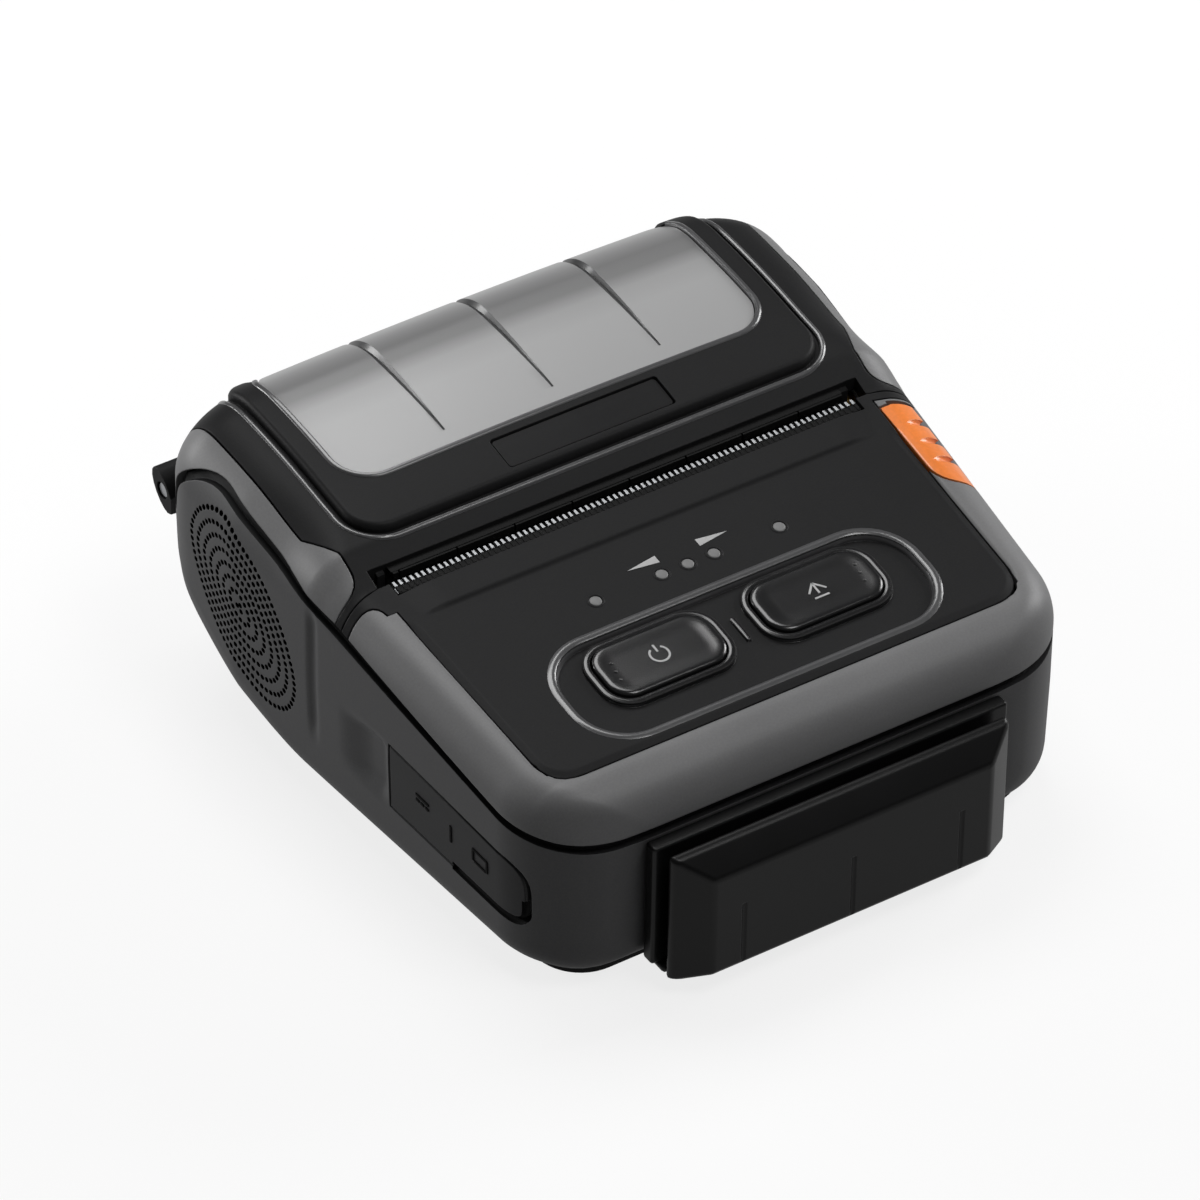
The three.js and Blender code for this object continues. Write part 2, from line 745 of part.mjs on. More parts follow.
// Base plate: screwed under the tub, open for the battery, with seats for the feet and the screw heads
function basePlate() {
  const [front, rear] = [bodyFrontY + plateInset, bodyRearY - plateRearFromRear];
  const halfX = sideLine(front) - plateSideInset;
  const slab = prismZ(roundedRectangle(
    0, (front + rear) / 2, halfX, (rear - front) / 2, plateFootprintCorner,
  ), [plateBottomZ, bodyBottomZ - gap]);
  const opening = box(
    [-batteryHalfWidth - gap, batteryHalfWidth + gap], [batteryFrontY - gap, batteryRearY + gap], allZ,
  );
  const catchPocket = box(
    [-batteryLatchHalfWidth - gap, batteryLatchHalfWidth + gap],
    [catchRearY - batteryLatchLength - batteryLatchTravel - gap, batteryFrontY],
    [-overrun, catchTopZ + gap],
  );
  const feet = footPlaces.map(([, x, y]) => rodZ(footRadius + gap, x, y, [-overrun, plateBottomZ + footSink]));
  const holes = screwPlaces.flatMap(([, x, y]) => [
    rodZ(screwRadius + gap, x, y, allZ),
    rodZ(screwHead + gap, x, y, [-overrun, screwBottomZ + screwHeadDepth + gap]),
  ]);
  return cut(slab, opening, catchPocket, ...feet, ...holes);
}

// Front upper case: the grey bumper runs round a black panel, which also borders the split
function panelOutline(grow) {
  const frontY = bumperTopY - grow;
  const rear = allY[1];
  const edge = (y) => sideLine(y) - bumperWidth + grow;
  const shape = new THREE.Shape();
  shape.moveTo(edge(rear), rear);
  shape.lineTo(-edge(rear), rear);
  shape.lineTo(-edge(frontY + panelCorner), frontY + panelCorner);
  shape.quadraticCurveTo(-edge(frontY), frontY, -edge(frontY) + panelCorner, frontY);
  shape.lineTo(edge(frontY) - panelCorner, frontY);
  shape.quadraticCurveTo(edge(frontY), frontY, edge(frontY + panelCorner), frontY + panelCorner);
  return shape;
}

const leverRearY = tearY - leverFromTear;
const leverFrontY = leverRearY - leverLength;

// The lever's place in plan, on the right of the panel; its rear end runs along the split
function leverPlan(grow, rearRoom) {
  const edge = (y) => sideLine(y) - bumperWidth + gap - grow;
  const [front, rear] = [leverFrontY - grow, leverRearY + rearRoom];
  const round = leverCornerRound + grow;
  const shape = new THREE.Shape();
  shape.moveTo(edge(rear), rear);
  shape.lineTo(edge(front + round), front + round);
  shape.quadraticCurveTo(edge(front), front, edge(front) + round, front);
  shape.lineTo(allX[1], front);
  shape.lineTo(allX[1], rear);
  return prismZ(shape, allZ).intersect(frontPlan(leverFromTear - rearRoom));
}

// The lever's arm hangs under its middle, on the inner side of the bumper's wall
function leverArmBox(grow) {
  const middleY = (leverFrontY + leverRearY) / 2;
  const armX = sideLine(middleY) - bumperWidth + 2 * gap;
  const armTop = panelHeight(middleY) - panelWall / 2;
  return box(
    [armX - grow, armX + panelWall + grow],
    [middleY - leverArmWidth / 2 - grow, middleY + leverArmWidth / 2 + grow],
    [armTop - leverArm - grow, armTop],
  );
}

// Room for the lever in the bumper, which keeps a rib under it
function leverOpening() {
  const above = leverPlan(gap, leverRearRoom).intersect(aboveSeam(leverRoomBelow - leverLift));
  return join(above, leverArmBox(gap));
}

function upperSkin(outer, inner) {
  return skin(outer, inner).intersect(upperHalf);
}

// Room for a seat, which passes the parting line so that it leaves no film there
const seatHalf = aboveSeam(seamGap);

function seatSkin(inner) {
  return skin(-overrun, inner).intersect(seatHalf);
}

function upperFront(outer, inner) {
  return upperSkin(outer, inner).intersect(frontPlan(gap / 2));
}

// The split's front side at a place across, moved back by a distance
function splitY(x, back) {
  return tearY + back - splitSweep * (x - slotHalfWidth) / (rearHalfWidth - slotHalfWidth);
}

// Rounds the inner corner of the bumper's left end
function bumperEnd(grow) {
  const [back, round] = [-splitBorder - grow, bumperEndRound - grow];
  const edge = (y) => sideLine(y) - bumperWidth + grow;
  const cornerX = edge(splitY(slotHalfWidth, back));
  const lowY = splitY(cornerX, back) - round;
  const shape = new THREE.Shape();
  shape.moveTo(-edge(lowY) + overrun, lowY);
  shape.lineTo(-edge(lowY), lowY);
  shape.quadraticCurveTo(-cornerX, splitY(cornerX, back), -cornerX - round, splitY(cornerX + round, back));
  shape.lineTo(-cornerX - round, tearY);
  shape.lineTo(-edge(lowY) + overrun, tearY);
  return prismZ(shape, allZ);
}

function panelRegion(grow) {
  const border = cut(box(allX, allY, allZ), frontPlan(splitBorder + grow));
  return join(prismZ(panelOutline(grow), allZ), border, bumperEnd(grow));
}

const panMiddleY = tearY - panFromTear;
const buttonY = tearY - buttonFromTear;

function buttonOutline(x, grow) {
  return prismZ(roundedRectangle(
    x, buttonY, buttonHalfWidth + grow, buttonHalfDepth + grow, buttonCorner + grow,
  ), allZ);
}

const ledPlaces = [
  ["error_lamp", -outerLedOffset],
  ["battery_lamp_low", -innerLedOffset],
  ["battery_lamp_middle", 0],
  ["battery_lamp_high", innerLedOffset],
  ["status_lamp", outerLedOffset],
];
const ledY = tearY - ledFromTear;

function controlPanel() {
  const flat = upperFront(0, panelWall).intersect(panelRegion(0));
  const deckRearY = tearY - tearSeat - gap;
  const deck = upperSkin(-deckHeight, panelWall).intersect(prismZ(polygon([
    [-deckHalfWidth, tearY - deckLength], [deckHalfWidth, tearY - deckLength],
    [tearHalfWidth, deckRearY], [-tearHalfWidth, deckRearY],
  ]), allZ));
  const pan = (grow) => prismZ(roundedRectangle(
    0, panMiddleY, panHalfWidth + grow, panHalfDepth + grow, panCorner + grow,
  ), allZ);
  const tray = upperSkin(0, panDrop + panFloor).intersect(pan(panelWall / 2));
  const sunk = seatSkin(panDrop).intersect(pan(0));
  const dished = cut(join(flat, deck, tray), sunk);
  const bezels = [-buttonOffset, buttonOffset].map((x) =>
    upperSkin(panDrop - bezelHeight, panDrop + panFloor).intersect(buttonOutline(x, gap + bezelWidth)));
  const holes = [-buttonOffset, buttonOffset].map((x) => buttonOutline(x, gap));
  const lamps = ledPlaces.map(([, x]) => rodZ(ledRadius + gap, x, ledY, allZ));
  const barSeat = seatSkin(tearSink + tearThickness + gap).intersect(box(
    [-tearHalfWidth - gap, tearHalfWidth + gap], [deckRearY, allY[1]], allZ,
  ));
  return cut(join(dished, ...bezels), ...holes, ...lamps, barSeat, leverOpening());
}

function frontBumper() {
  return cut(upperFront(0, panelWall), panelRegion(gap), leverOpening());
}

function releaseLever() {
  const shell = upperFront(0, panelWall).intersect(leverPlan(0, 0)).intersect(aboveSeam(-leverLift));
  return join(shell, leverArmBox(0).intersect(form(panelWall / 2)));
}

function lamp(x) {
  return form(0).intersect(rodZ(ledRadius, x, ledY, [panelHeight(ledY) - buttonBoardDepth + gap, allZ[1]]));
}

function button(x) {
  const cap = upperSkin(-buttonStand, panDrop + panFloor + gap + flangeThickness).intersect(buttonOutline(x, 0));
  const flange = upperSkin(panDrop + panFloor + gap, panDrop + panFloor + gap + flangeThickness);
  return join(cap, flange.intersect(buttonOutline(x, flangeWidth)));
}

function buttonBoard() {
  const slab = skin(buttonBoardDepth, buttonBoardDepth + boardThickness);
  const halfX = buttonOffset + buttonHalfWidth + flangeWidth;
  const spanY = [buttonY - buttonHalfDepth - flangeWidth, ledY + 2 * ledRadius];
  return slab.intersect(box([-halfX, halfX], spanY, upperZ));
}

function buttonSwitch(x) {
  const top = panDrop + panFloor + gap + flangeThickness + buttonTravel + gap;
  const body = skin(top, buttonBoardDepth - gap);
  return body.intersect(box(
    [x - buttonHalfDepth / 2, x + buttonHalfDepth / 2],
    [buttonY - buttonHalfDepth / 2, buttonY + buttonHalfDepth / 2],
    upperZ,
  ));
}

// Tear bar: a steel strip whose rear edge is cut into teeth
function tearBar() {
  const teeth = Math.round(2 * tearHalfWidth / toothPitch);
  const pitch = 2 * tearHalfWidth / teeth;
  const tipY = tearY + tearReach;
  const points = [[-tearHalfWidth, tearY - tearSeat], [tearHalfWidth, tearY - tearSeat]];
  for (let k = teeth; k > 0; k--) {
    const right = -tearHalfWidth + k * pitch;
    points.push([right, tipY - toothLength]);
    points.push([right - pitch / 2, tipY]);
  }
  points.push([-tearHalfWidth, tipY - toothLength]);
  const slope = Math.atan2(tearZ - panelFrontZ, tearY - bumperTopY);
  const geometry = new THREE.ExtrudeGeometry(polygon(points), { depth: tearThickness, bevelEnabled: false });
  geometry.translate(0, -tearY, 0);
  geometry.rotateX(slope);
  geometry.translate(0, tearY, tearZ - tearSink - tearThickness);
  return solid(geometry);
}

// Cover: shell with a raised platform, the window in it, a wing let into each side
const coverCut = upperHalf.intersect(coverPlan(gap / 2));
const platformFrontY = tearY + platformFrontBehindTear;
const platformRearY = bodyRearY - platformRearFromRear;
const windowFrontY = tearY + windowFrontBehindTear;
const windowRearY = bodyRearY - windowRearFromRear;

function frameOutline(frontY, rearY, halfX, corner) {
  return prismZ(roundedRectangle(0, (frontY + rearY) / 2, halfX, (rearY - frontY) / 2, corner), allZ);
}

const windowOutline = (grow) => frameOutline(
  windowFrontY - grow, windowRearY + grow, windowHalfWidth + grow, windowCorner + grow,
);

function wingPlan(side, grow) {
  const [inner, front] = [wingInnerHalfWidth - grow, wingFrontHalfWidth - grow];
  const [back, round] = [gap / 2 + splitBorder - grow, wingCornerRound + grow];
  const endY = bodyRearY - wingRearFromRear + grow;
  const shape = new THREE.Shape();
  shape.moveTo(side * front, splitY(front, back) + round);
  shape.quadraticCurveTo(
    side * front, splitY(front, back), side * (front + round), splitY(front + round, back),
  );
  shape.lineTo(side * allX[1], splitY(allX[1], back));
  shape.lineTo(side * allX[1], endY);
  shape.lineTo(side * inner, endY);
  shape.lineTo(side * inner, tearY + wingNarrowEnd);
  shape.lineTo(side * front, tearY + wingNarrowStart);
  return prismZ(shape, allZ);
}

function wing(side) {
  return skin(0, wingThickness).intersect(coverCut).intersect(wingPlan(side, 0));
}

function coverArm(side) {
  const span = side < 0 ? [-armInner - armThickness, -armInner] : [armInner, armInner + armThickness];
  const arm = box(
    span, [platenY - armHalfDepth, platenY + armHalfDepth],
    [platenZ - armDrop, allZ[1]],
  );
  return arm.intersect(form(coverWall / 2));
}

function plateOutline(grow) {
  const middleY = tearY + plateBehindTear + plateDepth / 2;
  return prismZ(roundedRectangle(
    0, middleY, plateHalfWidth + grow, plateDepth / 2 + grow, leastRound,
  ), allZ);
}

function coverShell() {
  const base = skin(0, coverWall).intersect(coverCut);
  const platform = upperSkin(-platformRise, coverWall - platformRise).intersect(
    frameOutline(platformFrontY, platformRearY, platformHalfWidth, platformCorner),
  );
  const hollow = form(coverWall - platformRise).intersect(
    frameOutline(platformFrontY + coverWall, platformRearY, platformHalfWidth - coverWall, platformCorner),
  );
  const barrelHalf = hingeHalfLength - knuckleLength - gap;
  const barrel = rodX(hingeBarrelRadius, [-barrelHalf, barrelHalf], hingeY, hingeZ, fineSides);
  const web = box(
    [-barrelHalf, barrelHalf], [hingeY - coverWall, hingeY - gap],
    [hingeZ, seamArcZ + coverWall],
  );
  const knuckleSpace = [-1, 1].map((side) => {
    const span = side < 0 ? [allX[0], -barrelHalf] : [barrelHalf, allX[1]];
    return rodX(knuckleLong + 2 * gap, span, hingeY, hingeZ);
  });
  const windowSeat = seatSkin(windowSink + windowThickness + gap - platformRise)
    .intersect(windowOutline(gap));
  const windowHole = windowOutline(-windowLedge).intersect(seatHalf);
  const wingSeats = [-1, 1].map((side) =>
    seatSkin(wingThickness + gap).intersect(wingPlan(side, gap)));
  const plateSeat = seatSkin(plateSink - platformRise + plateThickness + gap).intersect(plateOutline(gap));
  const shell = cut(
    join(cut(base, hollow), platform, coverArm(-1), coverArm(1), barrel, web),
    ...knuckleSpace, windowSeat, windowHole, ...wingSeats, plateSeat,
  );
  return cut(
    shell,
    rodX(hingeBore, allX, hingeY, hingeZ),
    rodX(shaftBore, allX, platenY, platenZ),
  );
}

function coverWindow() {
  const outer = windowSink - platformRise;
  const sheet = upperSkin(outer, outer + windowThickness).intersect(windowOutline(0));
  const grooves = [-grooveOffset, 0, grooveOffset].map((x) =>
    skin(outer - overrun, outer + grooveDepth).intersect(prismZ(polygon([
      [x, windowFrontY + grooveStart], [x + grooveWidth / 2, allY[1]], [x - grooveWidth / 2, allY[1]],
    ]), allZ)));
  return cut(sheet, ...grooves);
}

function namePlate() {
  const outer = plateSink - platformRise;
  return upperSkin(outer, outer + plateThickness).intersect(plateOutline(0));
}

// Card reader: a wall against the case, a chamfered block in front of it and a floor behind the block
const readerFrontY = -totalLength / 2;
const blockRearY = readerFrontY + readerBlockDepth;
const wallFrontY = blockRearY + cardSlot;

function readerRing(y, halfX, [bottom, top]) {
  return [[-halfX, y, bottom], [halfX, y, bottom], [halfX, y, top], [-halfX, y, top]];
}

function readerBlock() {
  const full = [readerBlockBottomZ, readerTopZ];
  return loft([
    readerRing(blockRearY, readerHalfWidth, full),
    readerRing(readerFrontY + readerChamfer, readerHalfWidth, full),
    readerRing(readerFrontY, readerHalfWidth - readerSideChamfer, [readerFlatBottomZ, readerFlatTopZ]),
  ]);
}

function readerWall() {
  const halfX = readerHalfWidth + readerWallExtra;
  const wall = box([-halfX, halfX], [wallFrontY, bodyFrontY - gap], [readerBottomZ, readerWallTopZ]);
  const pocket = box(
    [-headWidth / 2 - gap, headWidth / 2 + gap],
    [wallFrontY - overrun, wallFrontY - headProud + headDepth + gap],
    [headMiddleZ - headHeight / 2 - gap, headMiddleZ + headHeight / 2 + gap],
  );
  return cut(wall, pocket);
}

function readerFloor() {
  return box(
    [-readerHalfWidth, readerHalfWidth], [blockRearY + gap, bodyFrontY - gap],
    [readerBottomZ - gap - readerFloorThickness, readerBottomZ - gap],
  );
}

function magneticHead() {
  return box(
    [-headWidth / 2, headWidth / 2],
    [wallFrontY - headProud, wallFrontY - headProud + headDepth],
    [headMiddleZ - headHeight / 2, headMiddleZ + headHeight / 2],
  );
}

// Gears with straight-sided teeth, in side view
function gear(teeth, [y, z], phase, bore, span) {
  const pitchRadius = teeth * gearModule / 2;
  const [tip, root] = [pitchRadius + gearModule * 0.9, pitchRadius - gearModule * 1.15];
  const tooth = 2 * Math.PI / teeth;
  const points = [];
  for (let k = 0; k < teeth; k++) {
    const corners = [[root, -0.3], [tip, -0.12], [tip, 0.12], [root, 0.3]];
    corners.forEach(([radius, share]) => {
      const turn = phase + (k + share) * tooth;
      points.push([y + radius * Math.cos(turn), z + radius * Math.sin(turn)]);
    });
  }
  return cut(prismX(polygon(points), span), rodX(bore, allX, y, z));
}

const platenAt = [platenY, platenZ];
const idlerDistance = (platenTeeth + idlerTeeth) * gearModule / 2 + meshPlay;
const idlerAt = [platenY - idlerForward, platenZ - Math.sqrt(idlerDistance ** 2 - idlerForward ** 2)];
const pinionDistance = (idlerTeeth + pinionTeeth) * gearModule / 2 + meshPlay;
const pinionAt = [idlerAt[0] - Math.sqrt(pinionDistance ** 2 - pinionDrop ** 2), idlerAt[1] - pinionDrop];
const toIdler = Math.atan2(idlerAt[1] - platenAt[1], idlerAt[0] - platenAt[0]);
const toPinion = Math.atan2(pinionAt[1] - idlerAt[1], pinionAt[0] - idlerAt[0]);
const idlerTooth = 2 * Math.PI / idlerTeeth;
const idlerPhase = toIdler + Math.PI + idlerTooth / 2;
const idlerShift = (idlerPhase - toPinion) % idlerTooth;
const pinionPhase = toPinion + Math.PI - idlerShift * idlerTeeth / pinionTeeth + Math.PI / pinionTeeth;
const gearSpan = [gearInner, gearInner + gearFace];
const shaftEnd = gearInner + gearFace + gap;

// Mechanism frame: two side plates with open notches for the roller's bushes
function sideFrame(side) {
  const span = side < 0 ? [-frameInner - frameThickness, -frameInner] : [frameInner, frameInner + frameThickness];
  const notch = bushRadius + gap;
  const mouth = notch * 1.7;
  const plate = prismX(polygon([
    [frameFrontY, caseFloorZ + gap], [frameRearY, caseFloorZ + gap],
    [frameRearY, frameTopZ], [frameFrontY, frameTopZ - frameThickness * 2],
  ]), span);
  const opening = join(
    rodX(notch, allX, platenY, platenZ),
    prismX(polygon([
      [platenY - notch, platenZ], [platenY + notch, platenZ],
      [platenY + mouth, allZ[1]], [platenY - notch, allZ[1]],
    ]), allX),
  );
  const cutPlate = cut(plate, opening, rodX(motorShaftRadius + 2 * gap, allX, ...pinionAt));
  if (side < 0) return cutPlate;
  return join(cutPlate, rodX(motorShaftRadius, [frameInner, shaftEnd], ...idlerAt));
}

function bush(side) {
  const span = side < 0 ? [-bushInner - bushLength, -bushInner] : [bushInner, bushInner + bushLength];
  return cut(rodX(bushRadius, span, ...platenAt), rodX(shaftBore, allX, ...platenAt));
}

function motor() {
  const body = rodX(motorRadius, [frameInner - gap - motorLength, frameInner - gap], ...pinionAt);
  return join(body, rodX(motorShaftRadius, [frameInner - 2 * gap, shaftEnd], ...pinionAt));
}

const headFaceY = platenY - platenRadius - gap;
const headTopZ = tearZ - headTopFromTear;
const headSpan = [-frameInner + gap, frameInner - gap];
const sinkRearY = headFaceY - printHeadThickness - gap;
const sinkFrontY = sinkRearY - heatSinkThickness;

function printHead() {
  return box([-platenHalfLength, platenHalfLength], [headFaceY - printHeadThickness, headFaceY], [headBottomZ, headTopZ]);
}

function heatSink() {
  return box(headSpan, [sinkFrontY, sinkRearY], [headBottomZ, headTopZ]);
}

const bridgeRearY = sinkFrontY - springLength - 2 * gap;

function headBridge() {
  return box(headSpan, [bridgeRearY - bridgeThickness, bridgeRearY], [headBottomZ, headTopZ - bridgeThickness]);
}

function headSpring(x) {
  const span = [bridgeRearY + gap, sinkFrontY - gap];
  const z = (headBottomZ + headTopZ) / 2;
  return cut(rodY(springRadius, x, span, z), rodY(springRadius / 2, x, allY, z));
}

// Paper bay: a trough under the roll with two end walls
const bayOuter = bayRadius + bayWall;
const bayY = hingeY - hingeRecessDepth - lowerWall + gap - bayRearClearance - bayOuter;
const bayZ = caseFloorZ + gap + bayOuter;

function paperBay() {
  const disc = (radius, span) => rodX(radius, span, bayY, bayZ, fineSides);
  const outer = disc(bayOuter, [-bayHalfWidth - bayWall, bayHalfWidth + bayWall]);
  const inner = [-bayHalfWidth, bayHalfWidth];
  const above = box(inner, [bayY - bayRadius, bayY + bayRadius], [bayZ, allZ[1]]);
  const top = box(allX, allY, [bayWallTopZ, allZ[1]]);
  const front = box(allX, [allY[0], tearY + bayFrontCut - frameThickness], [bayFrontTopZ, allZ[1]]);
  return cut(outer, disc(bayRadius, inner), above, top, front);
}

// Battery, its catch, and the electronics
function battery() {
  return box([-batteryHalfWidth, batteryHalfWidth], [batteryFrontY, batteryRearY], [batteryBottomZ, batteryTopZ]);
}

const catchRearY = batteryFrontY - gap - wellWall - gap;
const catchTopZ = bodyBottomZ - gap;

function batteryCatch() {
  return box(
    [-batteryLatchHalfWidth, batteryLatchHalfWidth], [catchRearY - batteryLatchLength, catchRearY],
    [batteryBottomZ, catchTopZ],
  );
}

const boardZ = [batteryTopZ + gap + wellRoof + gap, batteryTopZ + gap + wellRoof + gap + boardThickness];
const socketBottom = boardZ[1] + gap;

function mainBoard() {
  const span = [boardFrontY, frameFrontY - gap];
  return form(lowerWall + 2 * gap).intersect(box([boardLeftX, boardRightX], span, boardZ));
}

function powerSocket() {
  const y = tearY - jackFromTear;
  const faceX = -sideLine(y) + socketFace;
  const z = socketBottom + jackHeight / 2;
  const body = box([faceX, faceX + jackLength], [y - jackWidth / 2, y + jackWidth / 2],
    [socketBottom, socketBottom + jackHeight]);
  return cut(body, rodX(jackBore, [faceX - overrun, faceX + jackBoreDepth], y, z));
}

function serialSocket() {
  const y = tearY - serialFromTear;
  const faceX = -sideLine(y) + socketFace;
  const z = socketBottom + serialHeight / 2;
  const body = box([faceX, faceX + serialLength], [y - serialWidth / 2, y + serialWidth / 2],
    [socketBottom, socketBottom + serialHeight]);
  return cut(body, box([faceX - overrun, faceX + serialOpenDepth],
    [y - serialOpenWidth / 2, y + serialOpenWidth / 2],
    [z - serialOpenHeight / 2, z + serialOpenHeight / 2]));
}

function portDoor() {
  const leaf = skin(0, doorWall).intersect(prismX(doorShape(0, 0), doorSide));
  const hinge = rodZ(doorKnuckle, doorHingeX, doorHingeY, doorZ);
  const rear = box(allX, [doorHingeY, allY[1]], allZ);
  return join(cut(leaf, rear), hinge);
}

function screw(x, y) {
  const head = rodZ(screwHead, x, y, [screwBottomZ, screwBottomZ + screwHeadDepth]);
  return join(head, rodZ(screwRadius, x, y, [screwBottomZ, screwTopZ]));
}

// Assembly
piece("lower_case", lowerCase(), casePlastic);
piece("base_plate", basePlate(), blackPlastic);
piece("control_panel", controlPanel(), blackPlastic);
piece("front_bumper", frontBumper(), greyPlastic);
piece("tear_bar", tearBar(), steel);
piece("release_lever", releaseLever(), orangePlastic);
ledPlaces.forEach(([name, x]) => piece(name, lamp(x), lensPlastic));
piece("power_button", button(-buttonOffset), glossBlack);
piece("feed_button", button(buttonOffset), glossBlack);
piece("button_board", buttonBoard(), boardGreen);
piece("power_switch", buttonSwitch(-buttonOffset), steel);
piece("feed_switch", buttonSwitch(buttonOffset), steel);
piece("port_door", portDoor(), casePlastic);
piece("card_reader_block", readerBlock(), blackPlastic);
piece("card_reader_wall", readerWall(), blackPlastic);
piece("card_reader_floor", readerFloor(), blackPlastic);
piece("magnetic_head", magneticHead(), steel);
footPlaces.forEach(([name, x, y]) =>
  piece("foot_" + name, rodZ(footRadius, x, y, [0, plateBottomZ + footSink - gap], fineSides), rubber));
screwPlaces.forEach(([name, x, y]) => piece("case_screw_" + name, screw(x, y), steel));
piece("battery_pack", battery(), blackPlastic);
piece("battery_catch", batteryCatch(), greyPlastic);
piece("main_board", mainBoard(), boardGreen);
piece("power_socket", powerSocket(), blackPlastic);
piece("serial_socket", serialSocket(), steel);
piece("paper_bay", paperBay(), blackPlastic);
piece("side_frame_left", sideFrame(-1), steel);
piece("side_frame_right", sideFrame(1), steel);
piece("print_head", printHead(), whitePlastic);
piece("heat_sink", heatSink(), aluminium);
piece("head_bridge", headBridge(), steel);
piece("head_spring_left", headSpring(-springOffset), steel);
piece("head_spring_right", headSpring(springOffset), steel);
piece("feed_motor", motor(), steel);
piece("motor_pinion", gear(pinionTeeth, pinionAt, pinionPhase, motorShaftRadius + gap, gearSpan), brass);
piece("idler_gear", gear(idlerTeeth, idlerAt, idlerPhase, motorShaftRadius + gap, gearSpan), whitePlastic);
piece("hinge_pin", rodX(hingePinRadius, [-hingeHalfLength + gap, hingeHalfLength - gap], hingeY, hingeZ), steel);
piece("cover_shell", coverShell(), blackPlastic);
piece("cover_wing_left", wing(-1), greyPlastic);
piece("cover_wing_right", wing(1), greyPlastic);
piece("cover_window", coverWindow(), windowPlastic);
piece("name_plate", namePlate(), blackPlastic);
piece("platen_bush_left", bush(-1), brass);
piece("platen_bush_right", bush(1), brass);
piece("platen_shaft", rodX(shaftRadius, [-bushInner - bushLength, shaftEnd], ...platenAt), steel);
piece("platen_roller", cut(
  rodX(platenRadius, [-platenHalfLength, platenHalfLength], ...platenAt, fineSides),
  rodX(shaftBore, allX, ...platenAt),
), rubber);
piece("platen_gear", gear(platenTeeth, platenAt, toIdler, shaftBore, gearSpan), whitePlastic);

export default printer;
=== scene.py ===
# A portable receipt printer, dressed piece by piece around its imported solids.
import itertools
import math
from functools import lru_cache

import bmesh
import bpy
from mathutils import Matrix, Vector
from mathutils.bvhtree import BVHTree


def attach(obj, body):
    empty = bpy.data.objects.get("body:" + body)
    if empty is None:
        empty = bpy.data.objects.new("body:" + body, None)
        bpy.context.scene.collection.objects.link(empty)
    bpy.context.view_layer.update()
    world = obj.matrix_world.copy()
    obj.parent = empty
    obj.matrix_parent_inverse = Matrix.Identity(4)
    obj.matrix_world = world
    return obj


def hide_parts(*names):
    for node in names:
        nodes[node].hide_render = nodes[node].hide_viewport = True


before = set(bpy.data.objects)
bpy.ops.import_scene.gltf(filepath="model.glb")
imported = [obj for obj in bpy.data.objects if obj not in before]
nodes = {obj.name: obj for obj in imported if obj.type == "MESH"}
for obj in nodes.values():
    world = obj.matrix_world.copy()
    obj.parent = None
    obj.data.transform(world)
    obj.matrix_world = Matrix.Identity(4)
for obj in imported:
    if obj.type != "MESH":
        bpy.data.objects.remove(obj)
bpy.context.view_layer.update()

# Camera: it stands high on the left of the card reader with a long lens, so that the panel, the left
# side and the front show at once. The small shift puts the printer where the picture has it.
azimuth, elevation, roll = (math.radians(angle) for angle in (33.28, 40.09, 0.91))
backward = Vector((
    -math.sin(azimuth) * math.cos(elevation), -math.cos(azimuth) * math.cos(elevation), math.sin(elevation),
))
level = Vector((math.cos(azimuth), -math.sin(azimuth), 0))
upright = backward.cross(level)
right = level * math.cos(roll) + upright * math.sin(roll)
up = upright * math.cos(roll) - level * math.sin(roll)
camera = bpy.data.objects.new("camera", bpy.data.cameras.new("camera"))
camera.data.sensor_width = 36
camera.data.lens = 267.6
camera.data.shift_x = 0.0025
camera.matrix_world = Matrix.Translation((-0.5733, -0.8621, 0.8947)) @ Matrix(
    (right, up, backward)).transposed().to_4x4()
bpy.context.scene.collection.objects.link(camera)
bpy.context.scene.camera = camera


# Lower case: the moulded tub that holds the battery, the boards and the mechanism. It is dark grey
# satin plastic with a black rim set in behind the parting line and a field of grip dots sunk in each side.
def between(start, end, share):
    return start + (end - start) * share


def eased(value, low, high):
    share = min(max((value - low) / (high - low), 0), 1)
    return share * share * (3 - 2 * share)


def hump(value, middle, half):
    share = min(abs(value - middle) / half, 1)
    return (1 - share * share) ** 2


def arc_height(radius, offset):
    return math.sqrt(max(radius * radius - offset * offset, 0))


body_front, body_rear, body_bottom = -50.1, 56.2, 2.8
bumper_top_y, tear_y, lip_y, ramp_y, crest_y = -41.9, 4.2, 7.2, 10.6, 43.6
panel_front_z, tear_z, lip_z, ramp_z, crest_z = 36.5, 42.1, 43.3, 45.2, 48.6
panel_edge_half, panel_edge_front, panel_edge_flare = 42.41, -36.4, 0.0344
front_corner, rear_corner = 13.5, 14
front_half, rear_half, taper_length = 47.5, 54, 80.3
bumper_radius, rear_top_radius, belly_radius, chin_radius = 8.2, 12.6, 28, 4.5
edge_column, crown_drop, side_draft = 41.4, 1.2, math.radians(1.5)


def side_line(y):
    return between(front_half, rear_half, min((y - body_front) / taper_length, 1))


def half_width(y, inset):
    into_front = body_front + front_corner - y
    into_rear = y - (body_rear - rear_corner)
    if into_front > 0:
        return side_line(y) - front_corner + arc_height(front_corner - inset, into_front)
    if into_rear > 0:
        return side_line(y) - rear_corner + arc_height(rear_corner - inset, into_rear)
    return side_line(y) - inset


def panel_edge(y):
    return panel_edge_half + panel_edge_flare * (y - panel_edge_front)


def panel_height(y):
    return between(panel_front_z, tear_z, (y - bumper_top_y) / (tear_y - bumper_top_y))


